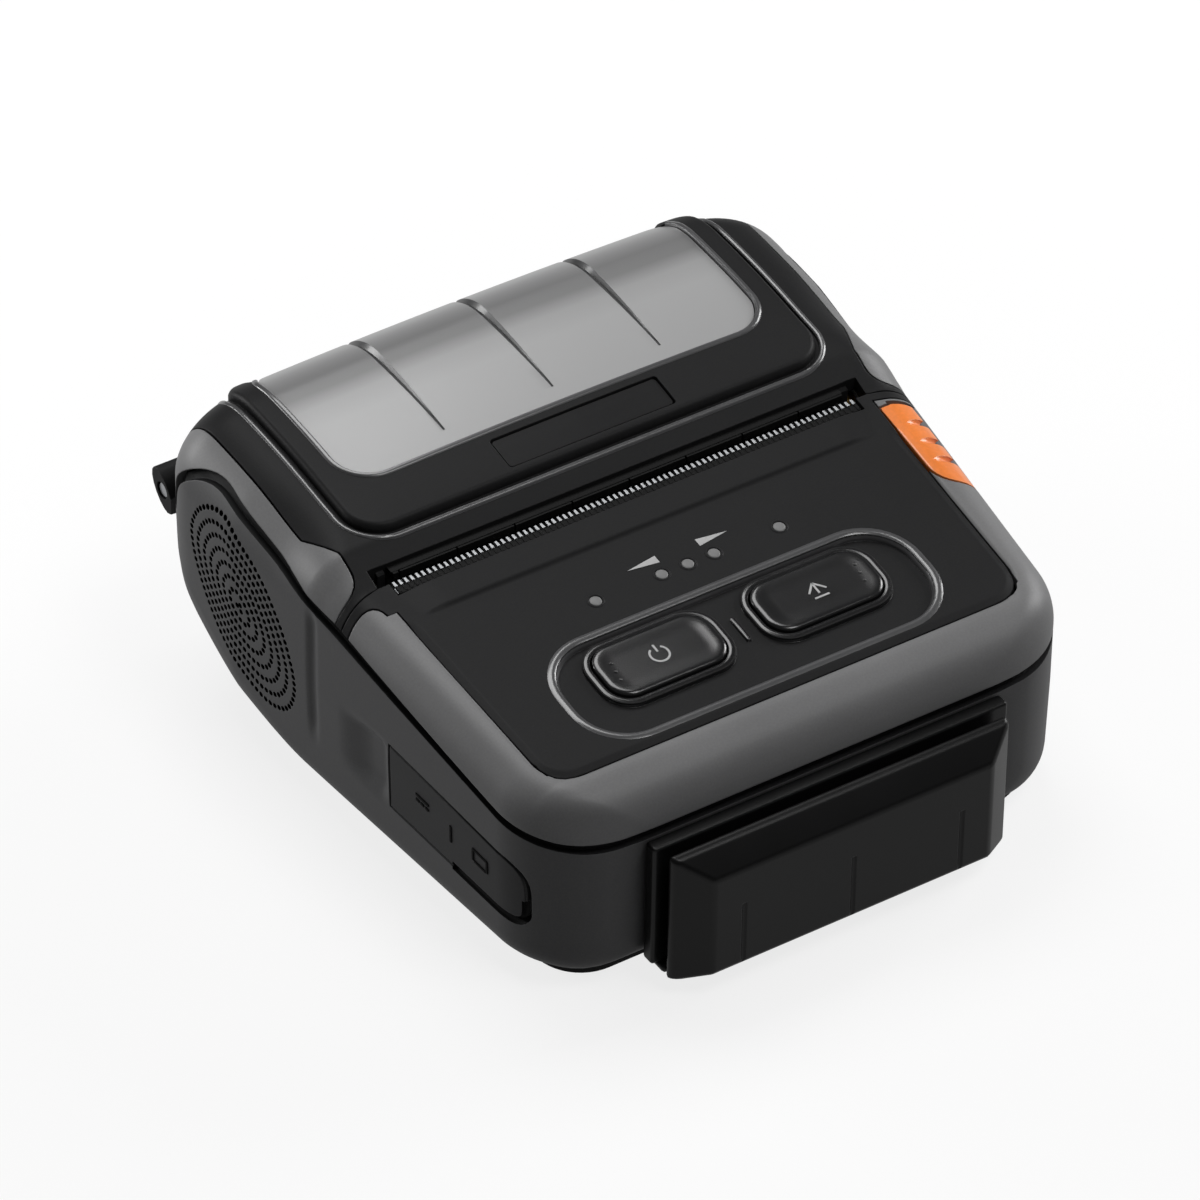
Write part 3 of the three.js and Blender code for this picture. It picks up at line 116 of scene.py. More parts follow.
def top_height(y, inset):
    if y < bumper_top_y:
        return panel_front_z - bumper_radius + arc_height(bumper_radius - inset, bumper_top_y - y)
    if y < tear_y:
        return panel_height(y) - inset
    if y < lip_y:
        return between(tear_z, lip_z, (y - tear_y) / (lip_y - tear_y)) - inset
    if y < ramp_y:
        return between(lip_z, ramp_z, (y - lip_y) / (ramp_y - lip_y)) - inset
    if y < crest_y:
        return crest_z - (crest_z - ramp_z) * ((crest_y - y) / (crest_y - ramp_y)) ** 2 - inset
    return crest_z - rear_top_radius + arc_height(rear_top_radius - inset, y - crest_y)


def bottom_height(y, inset):
    into_front = body_front + chin_radius - y
    into_rear = y - (body_rear - belly_radius)
    if into_front > 0:
        return body_bottom + chin_radius - arc_height(chin_radius - inset, into_front)
    if into_rear > 0:
        return body_bottom + belly_radius - arc_height(belly_radius - inset, into_rear)
    return body_bottom + inset


def crown_at(y):
    return crown_drop * eased(y, lip_y, lip_y + 16)


@lru_cache(maxsize=None)
def section(y, inset):
    half, top, bottom = half_width(y, inset), top_height(y, inset), bottom_height(y, inset)
    room = min(half, (top - bottom) / 2) * 0.96
    upper = min(max(between(6.2, 10.5, eased(y, tear_y, tear_y + 16)) - inset, 0.6), room)
    lower = min(max(between(4.5, 12, eased(y, 12.2, crest_y)) - inset, 0.6), room)
    return half, top, bottom, upper, lower


def skin_height(x, y, rise=0.0):
    """How high the body's outer skin is at a place seen from above, or a skin that lies above it."""
    half, top, bottom, upper, _ = section(y, -rise)
    over = min(max(abs(x) - (half - upper), 0), upper)
    z = top - upper + arc_height(upper, over)
    middle = (top + bottom) / 2
    return z - crown_at(y) * (min(abs(x) / half, 1)) ** 2 * max(z - middle, 0) / (top - middle)


def spread(*spans):
    """Places along a line, from spans of start, end and the step within them."""
    found = []
    for start, end, step in spans:
        count = max(round(abs(end - start) / step), 1)
        found += [between(start, end, k / count) for k in range(count)]
    return found + [spans[-1][1]]


def ring_place(y, place, inset, follows):
    kind, value, reach = place
    half, top, bottom, upper, lower = section(y, inset)
    plain_half, plain_top, plain_bottom, plain_upper, plain_lower = section(y, 0)

    def across(nominal):
        return nominal + ((panel_edge(y) - edge_column) * eased(nominal, 32, 38) if follows else 0)

    shrink = min(1, (plain_half - 0.45 * plain_upper) / across(reach))
    if kind == "across":
        x = across(value) * shrink
        over = min(max(x - (half - upper), 0), upper)
        z = top - upper + arc_height(upper, over)
    elif kind == "shoulder":
        started = (across(reach) * shrink - (plain_half - plain_upper)) / plain_upper
        turn = math.acos(min(max(started, 0), 1)) * (1 - value)
        x, z = half - upper + upper * math.cos(turn), top - upper + upper * math.sin(turn)
    elif kind == "side":
        x, z = half, between(plain_top - plain_upper, plain_bottom + plain_lower, value)
    elif kind == "low":
        turn = math.pi / 2 * (1 - value)
        x, z = half - lower + lower * math.sin(turn), bottom + lower - lower * math.cos(turn)
    else:
        x, z = (half - lower) * (1 - value), bottom
    middle = (top + bottom) / 2
    z -= crown_at(y) * (x / half) ** 2 * max(z - middle, 0) / (top - middle)
    x -= math.tan(side_draft) * max(middle - z, 0)
    return x, z


def wrapped(columns, rows, place, endless=False):
    """A sheet of quads bent round into a ring of columns; its rows either close too or get an end each."""
    form = bmesh.new()
    steps = rows if endless else rows - 1
    bmesh.ops.create_grid(form, x_segments=columns, y_segments=steps, size=1)
    for corner in form.verts:
        column = round((corner.co.x + 1) / 2 * columns) % columns
        row = round((corner.co.y + 1) / 2 * steps) % rows
        corner.co = place(column, row)
    bmesh.ops.remove_doubles(form, verts=form.verts, dist=1e-5)
    open_edges = [edge for edge in form.edges if edge.is_boundary]
    if open_edges:
        bmesh.ops.holes_fill(form, edges=open_edges, sides=0)
    bmesh.ops.recalc_face_normals(form, faces=form.faces)
    return form


def hull(stations, across, side_shares, relief, follows=False):
    """The body's whole outer form as one closed skin, with its relief worked in."""
    reach = across[-1]
    places = [("across", value, reach) for value in across]
    places += [("shoulder", k / 16, reach) for k in range(1, 17)]
    places += [("side", share, reach) for share in side_shares]
    places += [("low", k / 8, reach) for k in range(1, 9)]
    places += [("floor", k / 5, reach) for k in range(1, 6)]
    mirrored = [(place, 1) for place in places] + [(place, -1) for place in places[-2:0:-1]]

    def corner(column, row):
        place, hand = mirrored[column]
        y = stations[row]
        x, z = ring_place(y, place, 0, follows)
        raised = relief(hand * x, y, z)
        if raised:
            x, z = ring_place(y, place, -raised, follows)
        return hand * x, y, z

    return wrapped(len(mirrored), len(stations), corner)


def shown(name, form, *materials):
    """An object made from a form, in one material or more."""
    mesh = bpy.data.meshes.new(name)
    form.to_mesh(mesh)
    form.free()
    for material in materials:
        mesh.materials.append(material)
    item = bpy.data.objects.new(name, mesh)
    bpy.context.scene.collection.objects.link(item)
    return item


def combined(item, other, operation):
    """Joins, cuts or keeps what two closed solids share, and takes the second one away."""
    step = item.modifiers.new("solid", "BOOLEAN")
    step.solver, step.operation, step.object = "MANIFOLD", operation, other
    step.material_mode = "TRANSFER"
    graph = bpy.context.evaluated_depsgraph_get()
    done = bpy.data.meshes.new_from_object(item.evaluated_get(graph))
    item.modifiers.clear()
    item.data = done
    bpy.data.objects.remove(other)
    return item


def worked(item, form, operation, *materials):
    """Joins a form to a piece, cuts it out of it or keeps what they share. Its faces bring its materials."""
    return combined(item, shown("tool", form, *materials), operation)


def solid_copy(node):
    """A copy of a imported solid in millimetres, with its loose triangles joined."""
    form = bmesh.new()
    form.from_mesh(nodes[node].data)
    bmesh.ops.transform(form, matrix=Matrix.Scale(1000, 4), verts=form.verts)
    bmesh.ops.remove_doubles(form, verts=form.verts, dist=0.002)
    return form


skin_reach, skin_push = 0.4, 0.7


def swollen(node, near, spared=()):
    """The same copy with its outer skin pushed out a little, to be trimmed back by a finer skin."""
    form = solid_copy(node)
    for corner in form.verts:
        if any(all(low <= value <= high for value, (low, high) in zip(corner.co, room)) for room in spared):
            continue
        found, normal, _, _ = near.find_nearest(corner.co, skin_reach)
        if found is not None:
            corner.co += normal * skin_push
    return form


def block(spans, form=None):
    form = form or bmesh.new()
    middle = Vector([(low + high) / 2 for low, high in spans])
    size = [high - low for low, high in spans] + [1]
    bmesh.ops.create_cube(form, size=1, matrix=Matrix.Translation(middle) @ Matrix.Diagonal(size))
    return form


def fitted(item, body, stands_for=(), sharp=32):
    """Brings a finished piece from millimetres to its place, and lets it move with its body."""
    sliver = 0.004
    form = bmesh.new()
    form.from_mesh(item.data)
    bmesh.ops.remove_doubles(form, verts=form.verts, dist=sliver)
    bmesh.ops.dissolve_degenerate(form, edges=form.edges, dist=sliver)
    for face in form.faces:
        face.smooth = True
    for edge in form.edges:
        edge.smooth = edge.calc_face_angle(0) < math.radians(sharp)
    bmesh.ops.transform(form, matrix=Matrix.Scale(0.001, 4), verts=form.verts)
    form.to_mesh(item.data)
    form.free()
    item.modifiers.new("even_shading", "WEIGHTED_NORMAL").keep_sharp = True
    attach(item, body)
    if stands_for:
        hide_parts(*stands_for)


def placed(name, form, material, body, stands_for=(), sharp=32):
    """The same for a piece that is one form in one material."""
    fitted(shown(name, form, material), body, stands_for, sharp)


def fed(tree, node, inputs):
    """Gives a node's inputs plain values, or wires them to other nodes' outputs."""
    for label, value in inputs.items():
        if isinstance(value, bpy.types.NodeSocket):
            tree.links.new(value, node.inputs[label])
        else:
            node.inputs[label].default_value = value
    return node


def added(tree, kind, inputs=None, **settings):
    """A new shader node, whose settings are made before its inputs are fed."""
    node = tree.nodes.new("ShaderNode" + kind)
    for label, value in settings.items():
        setattr(node, label, value)
    return fed(tree, node, inputs or {})


def ranged(tree, value, low, high):
    """An output that runs from 0 to 1, spread from low to high."""
    return added(tree, "MapRange", {"Value": value, "To Min": low, "To Max": high}).outputs["Result"]


def reckoned(tree, operation, *values, clamped=False):
    """The result of a Math node on plain values and outputs."""
    inputs = dict(enumerate(values))
    return added(tree, "Math", inputs, operation=operation, use_clamp=clamped).outputs["Value"]


def socket_group(name, inputs):
    """A node group that makes a colour, a roughness and a normal from the inputs it is given."""
    group = bpy.data.node_groups.new(name, "ShaderNodeTree")
    for label, kind, value in inputs:
        socket = group.interface.new_socket(label, in_out="INPUT", socket_type="NodeSocket" + kind)
        socket.default_value = value
    for label, kind in (("Colour", "Color"), ("Roughness", "Float"), ("Normal", "Vector")):
        group.interface.new_socket(label, in_out="OUTPUT", socket_type="NodeSocket" + kind)
    return group, group.nodes.new("NodeGroupInput").outputs, group.nodes.new("NodeGroupOutput")


moulded_skin, given, made = socket_group("moulded_skin", [
    ("Colour", "Color", (0.5, 0.5, 0.5, 1)), ("Roughness", "Float", 0.5), ("Grain per metre", "Float", 3000),
    ("Grain depth", "Float", 0.00001), ("Edge radius", "Float", 0.0002), ("Edge wear", "Float", 0.2),
])
seat = added(moulded_skin, "TexCoord").outputs["Object"]
rounded = added(moulded_skin, "Bevel", {"Radius": given["Edge radius"]}, samples=4).outputs["Normal"]
flat_face = added(moulded_skin, "NewGeometry").outputs["Normal"]
facing = added(moulded_skin, "VectorMath", {0: rounded, 1: flat_face}, operation="DOT_PRODUCT")
worn = added(moulded_skin, "MapRange", {
    "From Min": 0.995, "From Max": 0.75, "Value": facing.outputs["Value"]}).outputs["Result"]
grain = added(moulded_skin, "TexNoise", {
    "Scale": given["Grain per metre"], "Detail": 3, "Vector": seat}).outputs["Fac"]
relief_bump = added(moulded_skin, "Bump", {
    "Strength": 1, "Distance": given["Grain depth"], "Height": grain, "Normal": rounded})
cloud = added(moulded_skin, "TexNoise", {"Scale": 60, "Detail": 4, "Vector": seat}).outputs["Fac"]
speckle = ranged(moulded_skin, grain, 0.86, 1.14)
shade = reckoned(moulded_skin, "MULTIPLY", ranged(moulded_skin, cloud, 0.9, 1.1), speckle)
toned = added(moulded_skin, "VectorMath", {0: given["Colour"], "Scale": shade}, operation="SCALE")
lighter = added(moulded_skin, "Mix", {
    "Factor": reckoned(moulded_skin, "MULTIPLY", worn, given["Edge wear"]), "A": toned.outputs["Vector"],
    "B": (0.35, 0.35, 0.35, 1)}, data_type="RGBA")
gloss = ranged(moulded_skin, cloud, -0.05, 0.05)
fed(moulded_skin, made, {
    "Colour": lighter.outputs["Result"], "Normal": relief_bump.outputs["Normal"],
    "Roughness": reckoned(moulded_skin, "ADD", given["Roughness"], gloss, clamped=True)})


def blank(name):
    material = bpy.data.materials.new(name)
    material.use_nodes = True
    return material, material.node_tree


def clad(name, group, own, skin):
    """A material with the shader's own values, whose colour, roughness and normal a node group makes."""
    material, tree = blank(name)
    surface = added(tree, "Group", skin, node_tree=group).outputs
    made_by_group = {
        "Base Color": surface["Colour"], "Roughness": surface["Roughness"], "Normal": surface["Normal"]}
    fed(tree, tree.nodes["Principled BSDF"], {**own, **made_by_group})
    return material


def moulded(name, colour, roughness, grain_size, grain_depth, edge=0.00025, wear=0.1, coat=0.0, shine=0.5):
    """A moulded plastic: its colour clouds a little, its texture is a fine grain, its edges are eased."""
    return clad(
        name, moulded_skin, {"Specular IOR Level": shine, "Coat Weight": coat, "Coat Roughness": 0.12},
        {"Colour": (*colour, 1), "Roughness": roughness, "Grain per metre": 1 / grain_size,
         "Grain depth": grain_depth, "Edge radius": edge, "Edge wear": wear})


case_plastic = moulded("case_plastic", (0.09, 0.09, 0.092), 0.5, 0.00034, 0.000006, shine=0.25)
black_plastic = moulded("black_plastic", (0.013, 0.013, 0.0135), 0.5, 0.00034, 0.000012, shine=0.1)
# Near black: painted shade in the sunk grip dots and the nail slot. The door's raised signs use it too.
dot_black = moulded("dot_black", (0.003, 0.003, 0.003), 0.7, 0.0005, 0.000004, wear=0, shine=0.1)
no_relief = lambda x, y, z: 0


def case_relief(x, y, z):
    behind = y - tear_y
    crease = hump(behind, 5, 1.5) * eased(z, 11, 17) * (1 - eased(z, 35, 38.5))
    if x > 0 or behind > -1.5:
        return -0.55 * crease
    scoop = (1 - eased(behind, -9, -1.5)) * eased(z, 12, 16) * (1 - eased(z, 22.5, 25.5))
    return -0.55 * crease - 1.3 * scoop * eased(behind, -14.4, -11.5)


case_rows = spread(
    (body_front, -47, 0.35), (-47, -36.6, 0.8), (-36.6, -14, 1.5), (-14, 12, 0.5), (12, 42.2, 1.2),
    (42.2, 53, 0.8), (53, body_rear, 0.3),
)
case_sides = spread((0, 1, 0.022))
case_form = hull(case_rows, spread((0, 46, 4)), case_sides, case_relief)
case_skin = BVHTree.FromBMesh(case_form)
knuckle_room = [((low, high), (53.5, 60), (22.5, 32.5)) for low, high in ((-51, -40.6), (40.6, 51))]
case_trim = shown("case_trim", case_form, case_plastic)
for room in knuckle_room:
    worked(case_trim, block(room), "UNION")
case_tub = shown("case_tub", swollen("lower_case", case_skin, knuckle_room), black_plastic)
combined(case_tub, case_trim, "INTERSECT")

grip_field = [
    (37.4, 33.2), (33.7, 39.2), (28.2, 40.8), (23.8, 38.5), (19, 36.5), (15.1, 32.4), (11.3, 26.7),
    (9.2, 19.8), (11.1, 14), (15.5, 11.6), (20.5, 12), (27.9, 15.4), (33.2, 21.2), (36.5, 27.7),
]
ring_pitch, dot_pitch, dot_radius, dot_length, dot_depth = 1.8, 1.2, 0.48, 2, 0.55
field_rings, field_reach = 8, 13.2
field_middle = Vector((23.5, 26))


def along(corners, step):
    """Evenly spaced points on a closed line through the corners."""
    lengths = [(corners[k] - corners[k - 1]).length for k in range(len(corners))]
    count = max(round(sum(lengths) / step), 1)
    points, travelled, k = [], 0, 0
    for number in range(count):
        wanted = sum(lengths) * number / count
        while travelled + lengths[(k + 1) % len(corners)] < wanted:
            travelled += lengths[(k + 1) % len(corners)]
            k += 1
        start, end = corners[k % len(corners)], corners[(k + 1) % len(corners)]
        points.append(start.lerp(end, (wanted - travelled) / (end - start).length))
    return points


def smoothed(corners, rounds):
    for _ in range(rounds):
        corners = [
            point for k in range(len(corners))
            for point in (corners[k - 1].lerp(corners[k], 0.25), corners[k - 1].lerp(corners[k], 0.75))
        ]
    return corners


field_edge = smoothed([Vector(point) for point in grip_field], 2)
dots = bmesh.new()
for ring in range(field_rings):
    ring_edge = [field_middle.lerp(point, 1 - ring * ring_pitch / field_reach) for point in field_edge]
    for place, hand in itertools.product(along(ring_edge, dot_pitch), (-1, 1)):
        start = Vector((hand * 80, place.x + tear_y, place.y))
        hit = case_skin.ray_cast(start, Vector((-hand, 0, 0)))[0]
        sunk = hit + Vector((hand * (dot_length / 2 - dot_depth), 0, 0))
        bmesh.ops.create_cone(
            dots, cap_ends=True, segments=10, radius1=dot_radius, radius2=dot_radius, depth=dot_length,
            matrix=Matrix.Translation(sunk) @ Matrix.Rotation(math.pi / 2, 4, "Y"))
# The dots' hollows are painted near black, as their shade.
worked(case_tub, dots, "DIFFERENCE", dot_black)

# Base plate, feet and screws: a black plate screwed under the tub leaves the battery free; the rubber
# feet are glued into seats in it, and four steel screws pass it into the tub's posts.
rubber = moulded("foot_rubber", (0.012, 0.012, 0.012), 0.85, 0.0006, 0.00003, wear=0)


def finished(names, material):
    for name in names:
        painted_slots = nodes[name].material_slots
        if not painted_slots:
            nodes[name].data.materials.append(material)
        for slot in painted_slots:
            slot.material = material


finished(["base_plate"], black_plastic)
finished(["foot_front_left", "foot_front_right", "foot_rear_left", "foot_rear_right"], rubber)

brushed_metal, given, made = socket_group("brushed_metal", [
    ("Colour", "Color", (0.5, 0.5, 0.5, 1)), ("Roughness", "Float", 0.3), ("Along", "Vector", (1, 1, 1)),
])
seat = added(brushed_metal, "TexCoord").outputs["Object"]
stretched = added(brushed_metal, "VectorMath", {0: seat, 1: given["Along"]}, operation="MULTIPLY")
lines = added(brushed_metal, "TexNoise", {
    "Scale": 2500, "Detail": 4, "Vector": stretched.outputs["Vector"]}).outputs["Fac"]
toned = added(brushed_metal, "VectorMath", {
    0: given["Colour"], "Scale": ranged(brushed_metal, lines, 0.8, 1.15)}, operation="SCALE")
haze = ranged(brushed_metal, lines, -0.08, 0.1)
eased_edge = added(brushed_metal, "Bevel", {"Radius": 0.00012}, samples=4)
scratch = added(brushed_metal, "Bump", {
    "Strength": 0.4, "Distance": 0.000004, "Height": lines, "Normal": eased_edge.outputs["Normal"]})
fed(brushed_metal, made, {
    "Colour": toned.outputs["Vector"], "Normal": scratch.outputs["Normal"],
    "Roughness": reckoned(brushed_metal, "ADD", given["Roughness"], haze, clamped=True)})


def metal(name, colour, roughness, along_lines=(1, 1, 1)):
    """A brushed metal, whose lines run where the share of its axis is small."""
    return clad(
        name, brushed_metal, {"Metallic": 1},
        {"Colour": (*colour, 1), "Roughness": roughness, "Along": along_lines})


steel = metal("steel", (0.48, 0.49, 0.51), 0.32, (0.1, 1, 1))
finished([name for name in nodes if name.startswith("case_screw")], steel)

# Battery and its catch: the pack fills the well from below as a plain black block, and a small grey
# catch slides under the base plate to hold it.
catch_grey = moulded("catch_grey", (0.16, 0.16, 0.162), 0.5, 0.0004, 0.00001)
finished(["battery_pack"], black_plastic)
finished(["battery_catch"], catch_grey)

# Boards and sockets: green lacquered boards with faint copper runs under the lacquer, the power and
# data sockets at the left side, and the two key switches under the panel.
board_green, tree = blank("board_green")
runs = added(tree, "TexBrick", {
    "Scale": 260, "Color1": (0.02, 0.085, 0.035, 1), "Color2": (0.03, 0.12, 0.05, 1),
    "Mortar": (0.05, 0.17, 0.075, 1), "Vector": added(tree, "TexCoord").outputs["Object"]})
fed(tree, tree.nodes["Principled BSDF"], {"Roughness": 0.35, "Base Color": runs.outputs["Color"]})
finished(["main_board", "button_board"], board_green)
finished(["power_socket"], black_plastic)
finished(["serial_socket", "power_switch", "feed_switch"], steel)

# Print mechanism: pressed steel side plates carry a stepping motor, white moulded gears and the thermal
# head, a glazed ceramic strip on an aluminium heat sink that springs push against the roller.
aluminium = metal("aluminium", (0.4, 0.42, 0.45), 0.4, (0.05, 1, 1))
ceramic = moulded("head_ceramic", (0.68, 0.68, 0.64), 0.25, 0.001, 0.000002, coat=0.5)
brass = metal("brass", (0.43, 0.27, 0.08), 0.35)
gear_white = moulded("gear_white", (0.68, 0.68, 0.64), 0.45, 0.0006, 0.000006, edge=0.0001)
finished([
    "side_frame_left", "side_frame_right", "head_bridge", "head_spring_left", "head_spring_right",
    "feed_motor", "hinge_pin", "platen_shaft", "magnetic_head",
], steel)
finished(["heat_sink"], aluminium)
finished(["print_head"], ceramic)
finished(["motor_pinion", "platen_bush_left", "platen_bush_right"], brass)
finished(["idler_gear", "platen_gear"], gear_white)
finished(["paper_bay"], black_plastic)
finished(["platen_roller"], rubber)

# Bumper: one grey moulding that runs round the front and both sides of the panel, satin and a little
# lighter than the tub, with its upper edge rolled over.
bumper_grey = moulded("bumper_grey", (0.155, 0.155, 0.157), 0.46, 0.00034, 0.000006, shine=0.35)
panel_corner = 5.5


def panel_edge_depth(x, y):
    """How far a place lies inside the black panel's edge."""
    sideways = panel_edge(y) - abs(x)
    forward = y - bumper_top_y
    if sideways < panel_corner and forward < panel_corner:
        return panel_corner - math.hypot(panel_corner - sideways, panel_corner - forward)
    return min(sideways, forward)


def front_relief(x, y, z):
    if z < 30 and abs(x) > 46:
        return 0
    depth = panel_edge_depth(x, y)
    raised = 0.0
    if 0 < depth < 1.3:
        raised = -0.38 * (1 - depth / 1.3)
    elif -0.5 < depth <= 0:
        raised = -0.3 * (1 + depth / 0.5)
    raised *= 1 - eased(y, -6.5, -3.5)
    deck = 0.5 * eased(y, tear_y - 8.35, tear_y - 7.6) * (1 - eased(abs(x), 36, 40.5 + 0.4 * (y + 3.8)))
    return raised + deck


front_rows = spread(
    (body_front, -47, 0.35), (-47, -43.5, 0.6), (-43.5, -36, 0.22), (-36, -5.2, 0.9), (-5.2, -2.6, 0.13),
    (-2.6, 6, 0.6), (6, body_rear, 8),
)
front_across = spread((0, 32, 1.6), (32, 38.4, 0.8), (38.4, 42.2, 0.17), (42.2, 44.4, 0.45))
front_form = hull(front_rows, front_across, spread((0, 1, 0.08)), front_relief, follows=True)
front_skin = BVHTree.FromBMesh(front_form)
pan_inside = [((-26.2, 26.2), (-34.5, -20.45), (20, 60))]
bumper_band = shown("bumper_band", swollen("front_bumper", front_skin), bumper_grey)
worked(bumper_band, front_form.copy(), "INTERSECT")

# Control panel: a black, finely textured moulding that slopes to the tear bar. A sunk tray with a rolled lip,
# painted lighter as its highlight, holds the two keys in glossy collars, and a raised deck leads up to the
# blade.
panel_black = moulded("panel_black", (0.016, 0.016, 0.0165), 0.45, 0.0003, 0.000016, wear=0.05, shine=0.08)
gloss_black = moulded("gloss_black", (0.009, 0.009, 0.0095), 0.2, 0.002, 0.000001, wear=0.02, coat=0.35)
# The lips are black, but their colour is painted lighter as their highlight.
lip_painted_highlight = moulded("lip_painted_highlight", (0.06, 0.06, 0.062), 0.3, 0.002, 0.000001, wear=0.02, coat=0.8)
panel_face = shown(
    "panel_face", swollen("control_panel", front_skin, pan_inside), panel_black, gloss_black)
worked(panel_face, front_form.copy(), "INTERSECT")


def round_outline(middle, half_x, half_y, corner, steps=10):
    """Points and outward directions round a rectangle with round corners, seen from above."""
    found = []
    for quarter, (hand_x, hand_y) in enumerate([(1, 1), (-1, 1), (-1, -1), (1, -1)]):
        for k in range(steps + 1):
            turn = (quarter + k / steps) * math.pi / 2
            found.append((
                middle[0] + hand_x * (half_x - corner) + corner * math.cos(turn),
                middle[1] + hand_y * (half_y - corner) + corner * math.sin(turn),
                math.cos(turn), math.sin(turn),
            ))
    sides = []
    for k, point in enumerate(found):
        after = found[(k + 1) % len(found)]
        gap = math.hypot(after[0] - point[0], after[1] - point[1])
        count = max(int(gap / 2.0), 1) if gap > 2.5 else 1
        for part in range(count):
            share = part / count
            sides.append(tuple(between(point[axis], after[axis], share) for axis in range(4)))
    return sides


def stepped(place, step, rise=0.0):
    """Where a step outwards and upwards from a place on an outline ends, above the body's skin."""
    x, y = place[0] + place[2] * step[0], place[1] + place[3] * step[0]
    return x, y, skin_height(x, y, rise) + step[1]


def lip(outline, profile, ends=False):
    """A profile of outward and upward steps carried round an outline on the body's skin."""
    return wrapped(
        len(outline), len(profile), lambda column, row: stepped(outline[column], profile[row]),
        endless=not ends)


tray_lip = [
    (-0.3, -1.4), (-0.3, -0.75), (-0.22, -0.4), (0, -0.08), (0.3, 0.13), (0.65, 0.2), (1.0, 0.15),
    (1.35, 0.02), (1.6, -0.2), (1.6, -1.4),
]
worked(panel_face, lip(round_outline((0, -29.3), 31, 9.6, 8), tray_lip), "UNION", lip_painted_highlight)
key_places = {"power_button": -14, "feed_button": 14}
key_y, key_half_x, key_half_y, key_corner = -27.1, 10.2, 5.2, 3.6
collar = [
    (0.22, -1.7), (0.22, -0.5), (0.34, -0.3), (0.6, -0.18), (0.9, -0.18), (1.2, -0.32), (1.42, -0.6),
    (1.5, -1.05), (1.5, -1.7),
]
for x in key_places.values():
    ring = lip(round_outline((x, key_y), key_half_x, key_half_y, key_corner), collar)
    worked(panel_face, ring, "UNION", gloss_black)
divider_profile = [(0, -1.5), (0, -0.75), (-0.12, -0.6), (-0.3, -0.55)]
divider = lip(round_outline((0, key_y - 0.6), 0.42, 2.6, 0.4, 4), divider_profile, ends=True)
worked(panel_face, divider, "UNION", gloss_black)
fitted(panel_face, "case", ["control_panel"])

# Keys: two glossy black caps, slightly dished, each with a plain light sign printed on it and three
# raised dots at its outer end. They slide straight down on dome switches.
sign_grey = moulded("sign_grey", (0.42, 0.42, 0.42), 0.45, 0.0008, 0.000002, edge=0.00003, wear=0)
panel_slope = math.atan2(tear_z - panel_front_z, tear_y - bumper_top_y)
key_profile = [
    (0, -3.2), (0, -0.12), (-0.05, 0.06), (-0.2, 0.2), (-0.5, 0.29), (-0.9, 0.31), (-1.6, 0.27),
    (-2.4, 0.22), (-3.2, 0.2),
]


def on_panel(x, y, lift):
    return Matrix.Translation((x, y, panel_height(y) + lift)) @ Matrix.Rotation(panel_slope, 4, "X")


def bar(form, place, length, width, turn, height=0.09):
    local = Matrix.Translation((*place, 0)) @ Matrix.Rotation(turn, 4, "Z")
    bmesh.ops.create_cube(form, size=1, matrix=local @ Matrix.Diagonal((length, width, height, 1)))


for name, x in key_places.items():
    cap = lip(round_outline((x, key_y), key_half_x, key_half_y, key_corner), key_profile, ends=True)
    placed(name + "_cap", cap, gloss_black, name, [name])
    sign = bmesh.new()
    if name == "power_button":
        wall = [sign.verts.new((1.35 + dx, 0, dz)) for dx, dz in (
            (0, -0.045), (0.34, -0.045), (0.34, 0.045), (0, 0.045))]
        face = sign.faces.new(wall)
        bmesh.ops.rotate(sign, verts=wall, cent=(0, 0, 0), matrix=Matrix.Rotation(math.radians(125), 3, "Z"))
        bmesh.ops.spin(
            sign, geom=[face], cent=(0, 0, 0), axis=(0, 0, 1), angle=math.radians(290), steps=28)
        bmesh.ops.recalc_face_normals(sign, faces=sign.faces)
        bar(sign, (0, 1.25), 0.34, 1.5, 0)
    else:
        bar(sign, (0, -1.5), 2.6, 0.34, 0)
        bar(sign, (-0.78, 0.55), 2.3, 0.34, math.radians(48))
        bar(sign, (0.78, 0.55), 2.3, 0.34, math.radians(-48))
        bar(sign, (0, 0.3), 0.34, 2.2, 0)
    bmesh.ops.transform(sign, matrix=on_panel(x, key_y, 0.24), verts=sign.verts)
    placed(name + "_sign", sign, sign_grey, name)
    beads = bmesh.new()
    for offset in (-1.7, 0, 1.7):
        bmesh.ops.create_uvsphere(
            beads, u_segments=12, v_segments=8, radius=0.3,
            matrix=Matrix.Translation((math.copysign(7.7, x) + 0.15 * offset, offset, 0)) @ Matrix.Diagonal(
                (1, 1, 0.6, 1)))
    bmesh.ops.transform(beads, matrix=on_panel(x, key_y, 0.23), verts=beads.verts)
    placed(name + "_dots", beads, gloss_black, name, sharp=80)

# Lamps: five clouded light pipes pushed up from the button board, each a low dome in a thin collar. Two
# printed wedges point outwards from the battery lamps.
lens_grey = moulded("lens_grey", (0.17, 0.17, 0.17), 0.5, 0.0012, 0.000002, edge=0.00005)
lamp_y = -13.3
lamp_places = {
    "error_lamp": -16.4, "battery_lamp_low": -4.67, "battery_lamp_middle": 0, "battery_lamp_high": 4.67,
    "status_lamp": 16.4,
}
lens_profile = [(0, -3), (0, -0.05), (-0.08, 0.02), (-0.3, 0.06), (-0.6, 0.08), (-0.85, 0.09)]
lamp_collar = [(0, -1), (0, 0.02), (0.12, 0.08), (0.3, 0.06), (0.42, -0.04), (0.42, -1)]
for name, x in lamp_places.items():
    lens = lip(round_outline((x, lamp_y), 0.98, 0.98, 0.97, 6), lens_profile, ends=True)
    placed(name + "_lens", lens, lens_grey, "case", [name], sharp=50)
    rim = lip(round_outline((x, lamp_y), 1.06, 1.06, 1.05, 6), lamp_collar)
    placed(name + "_collar", rim, panel_black, "case", sharp=50)
wedges = bmesh.new()
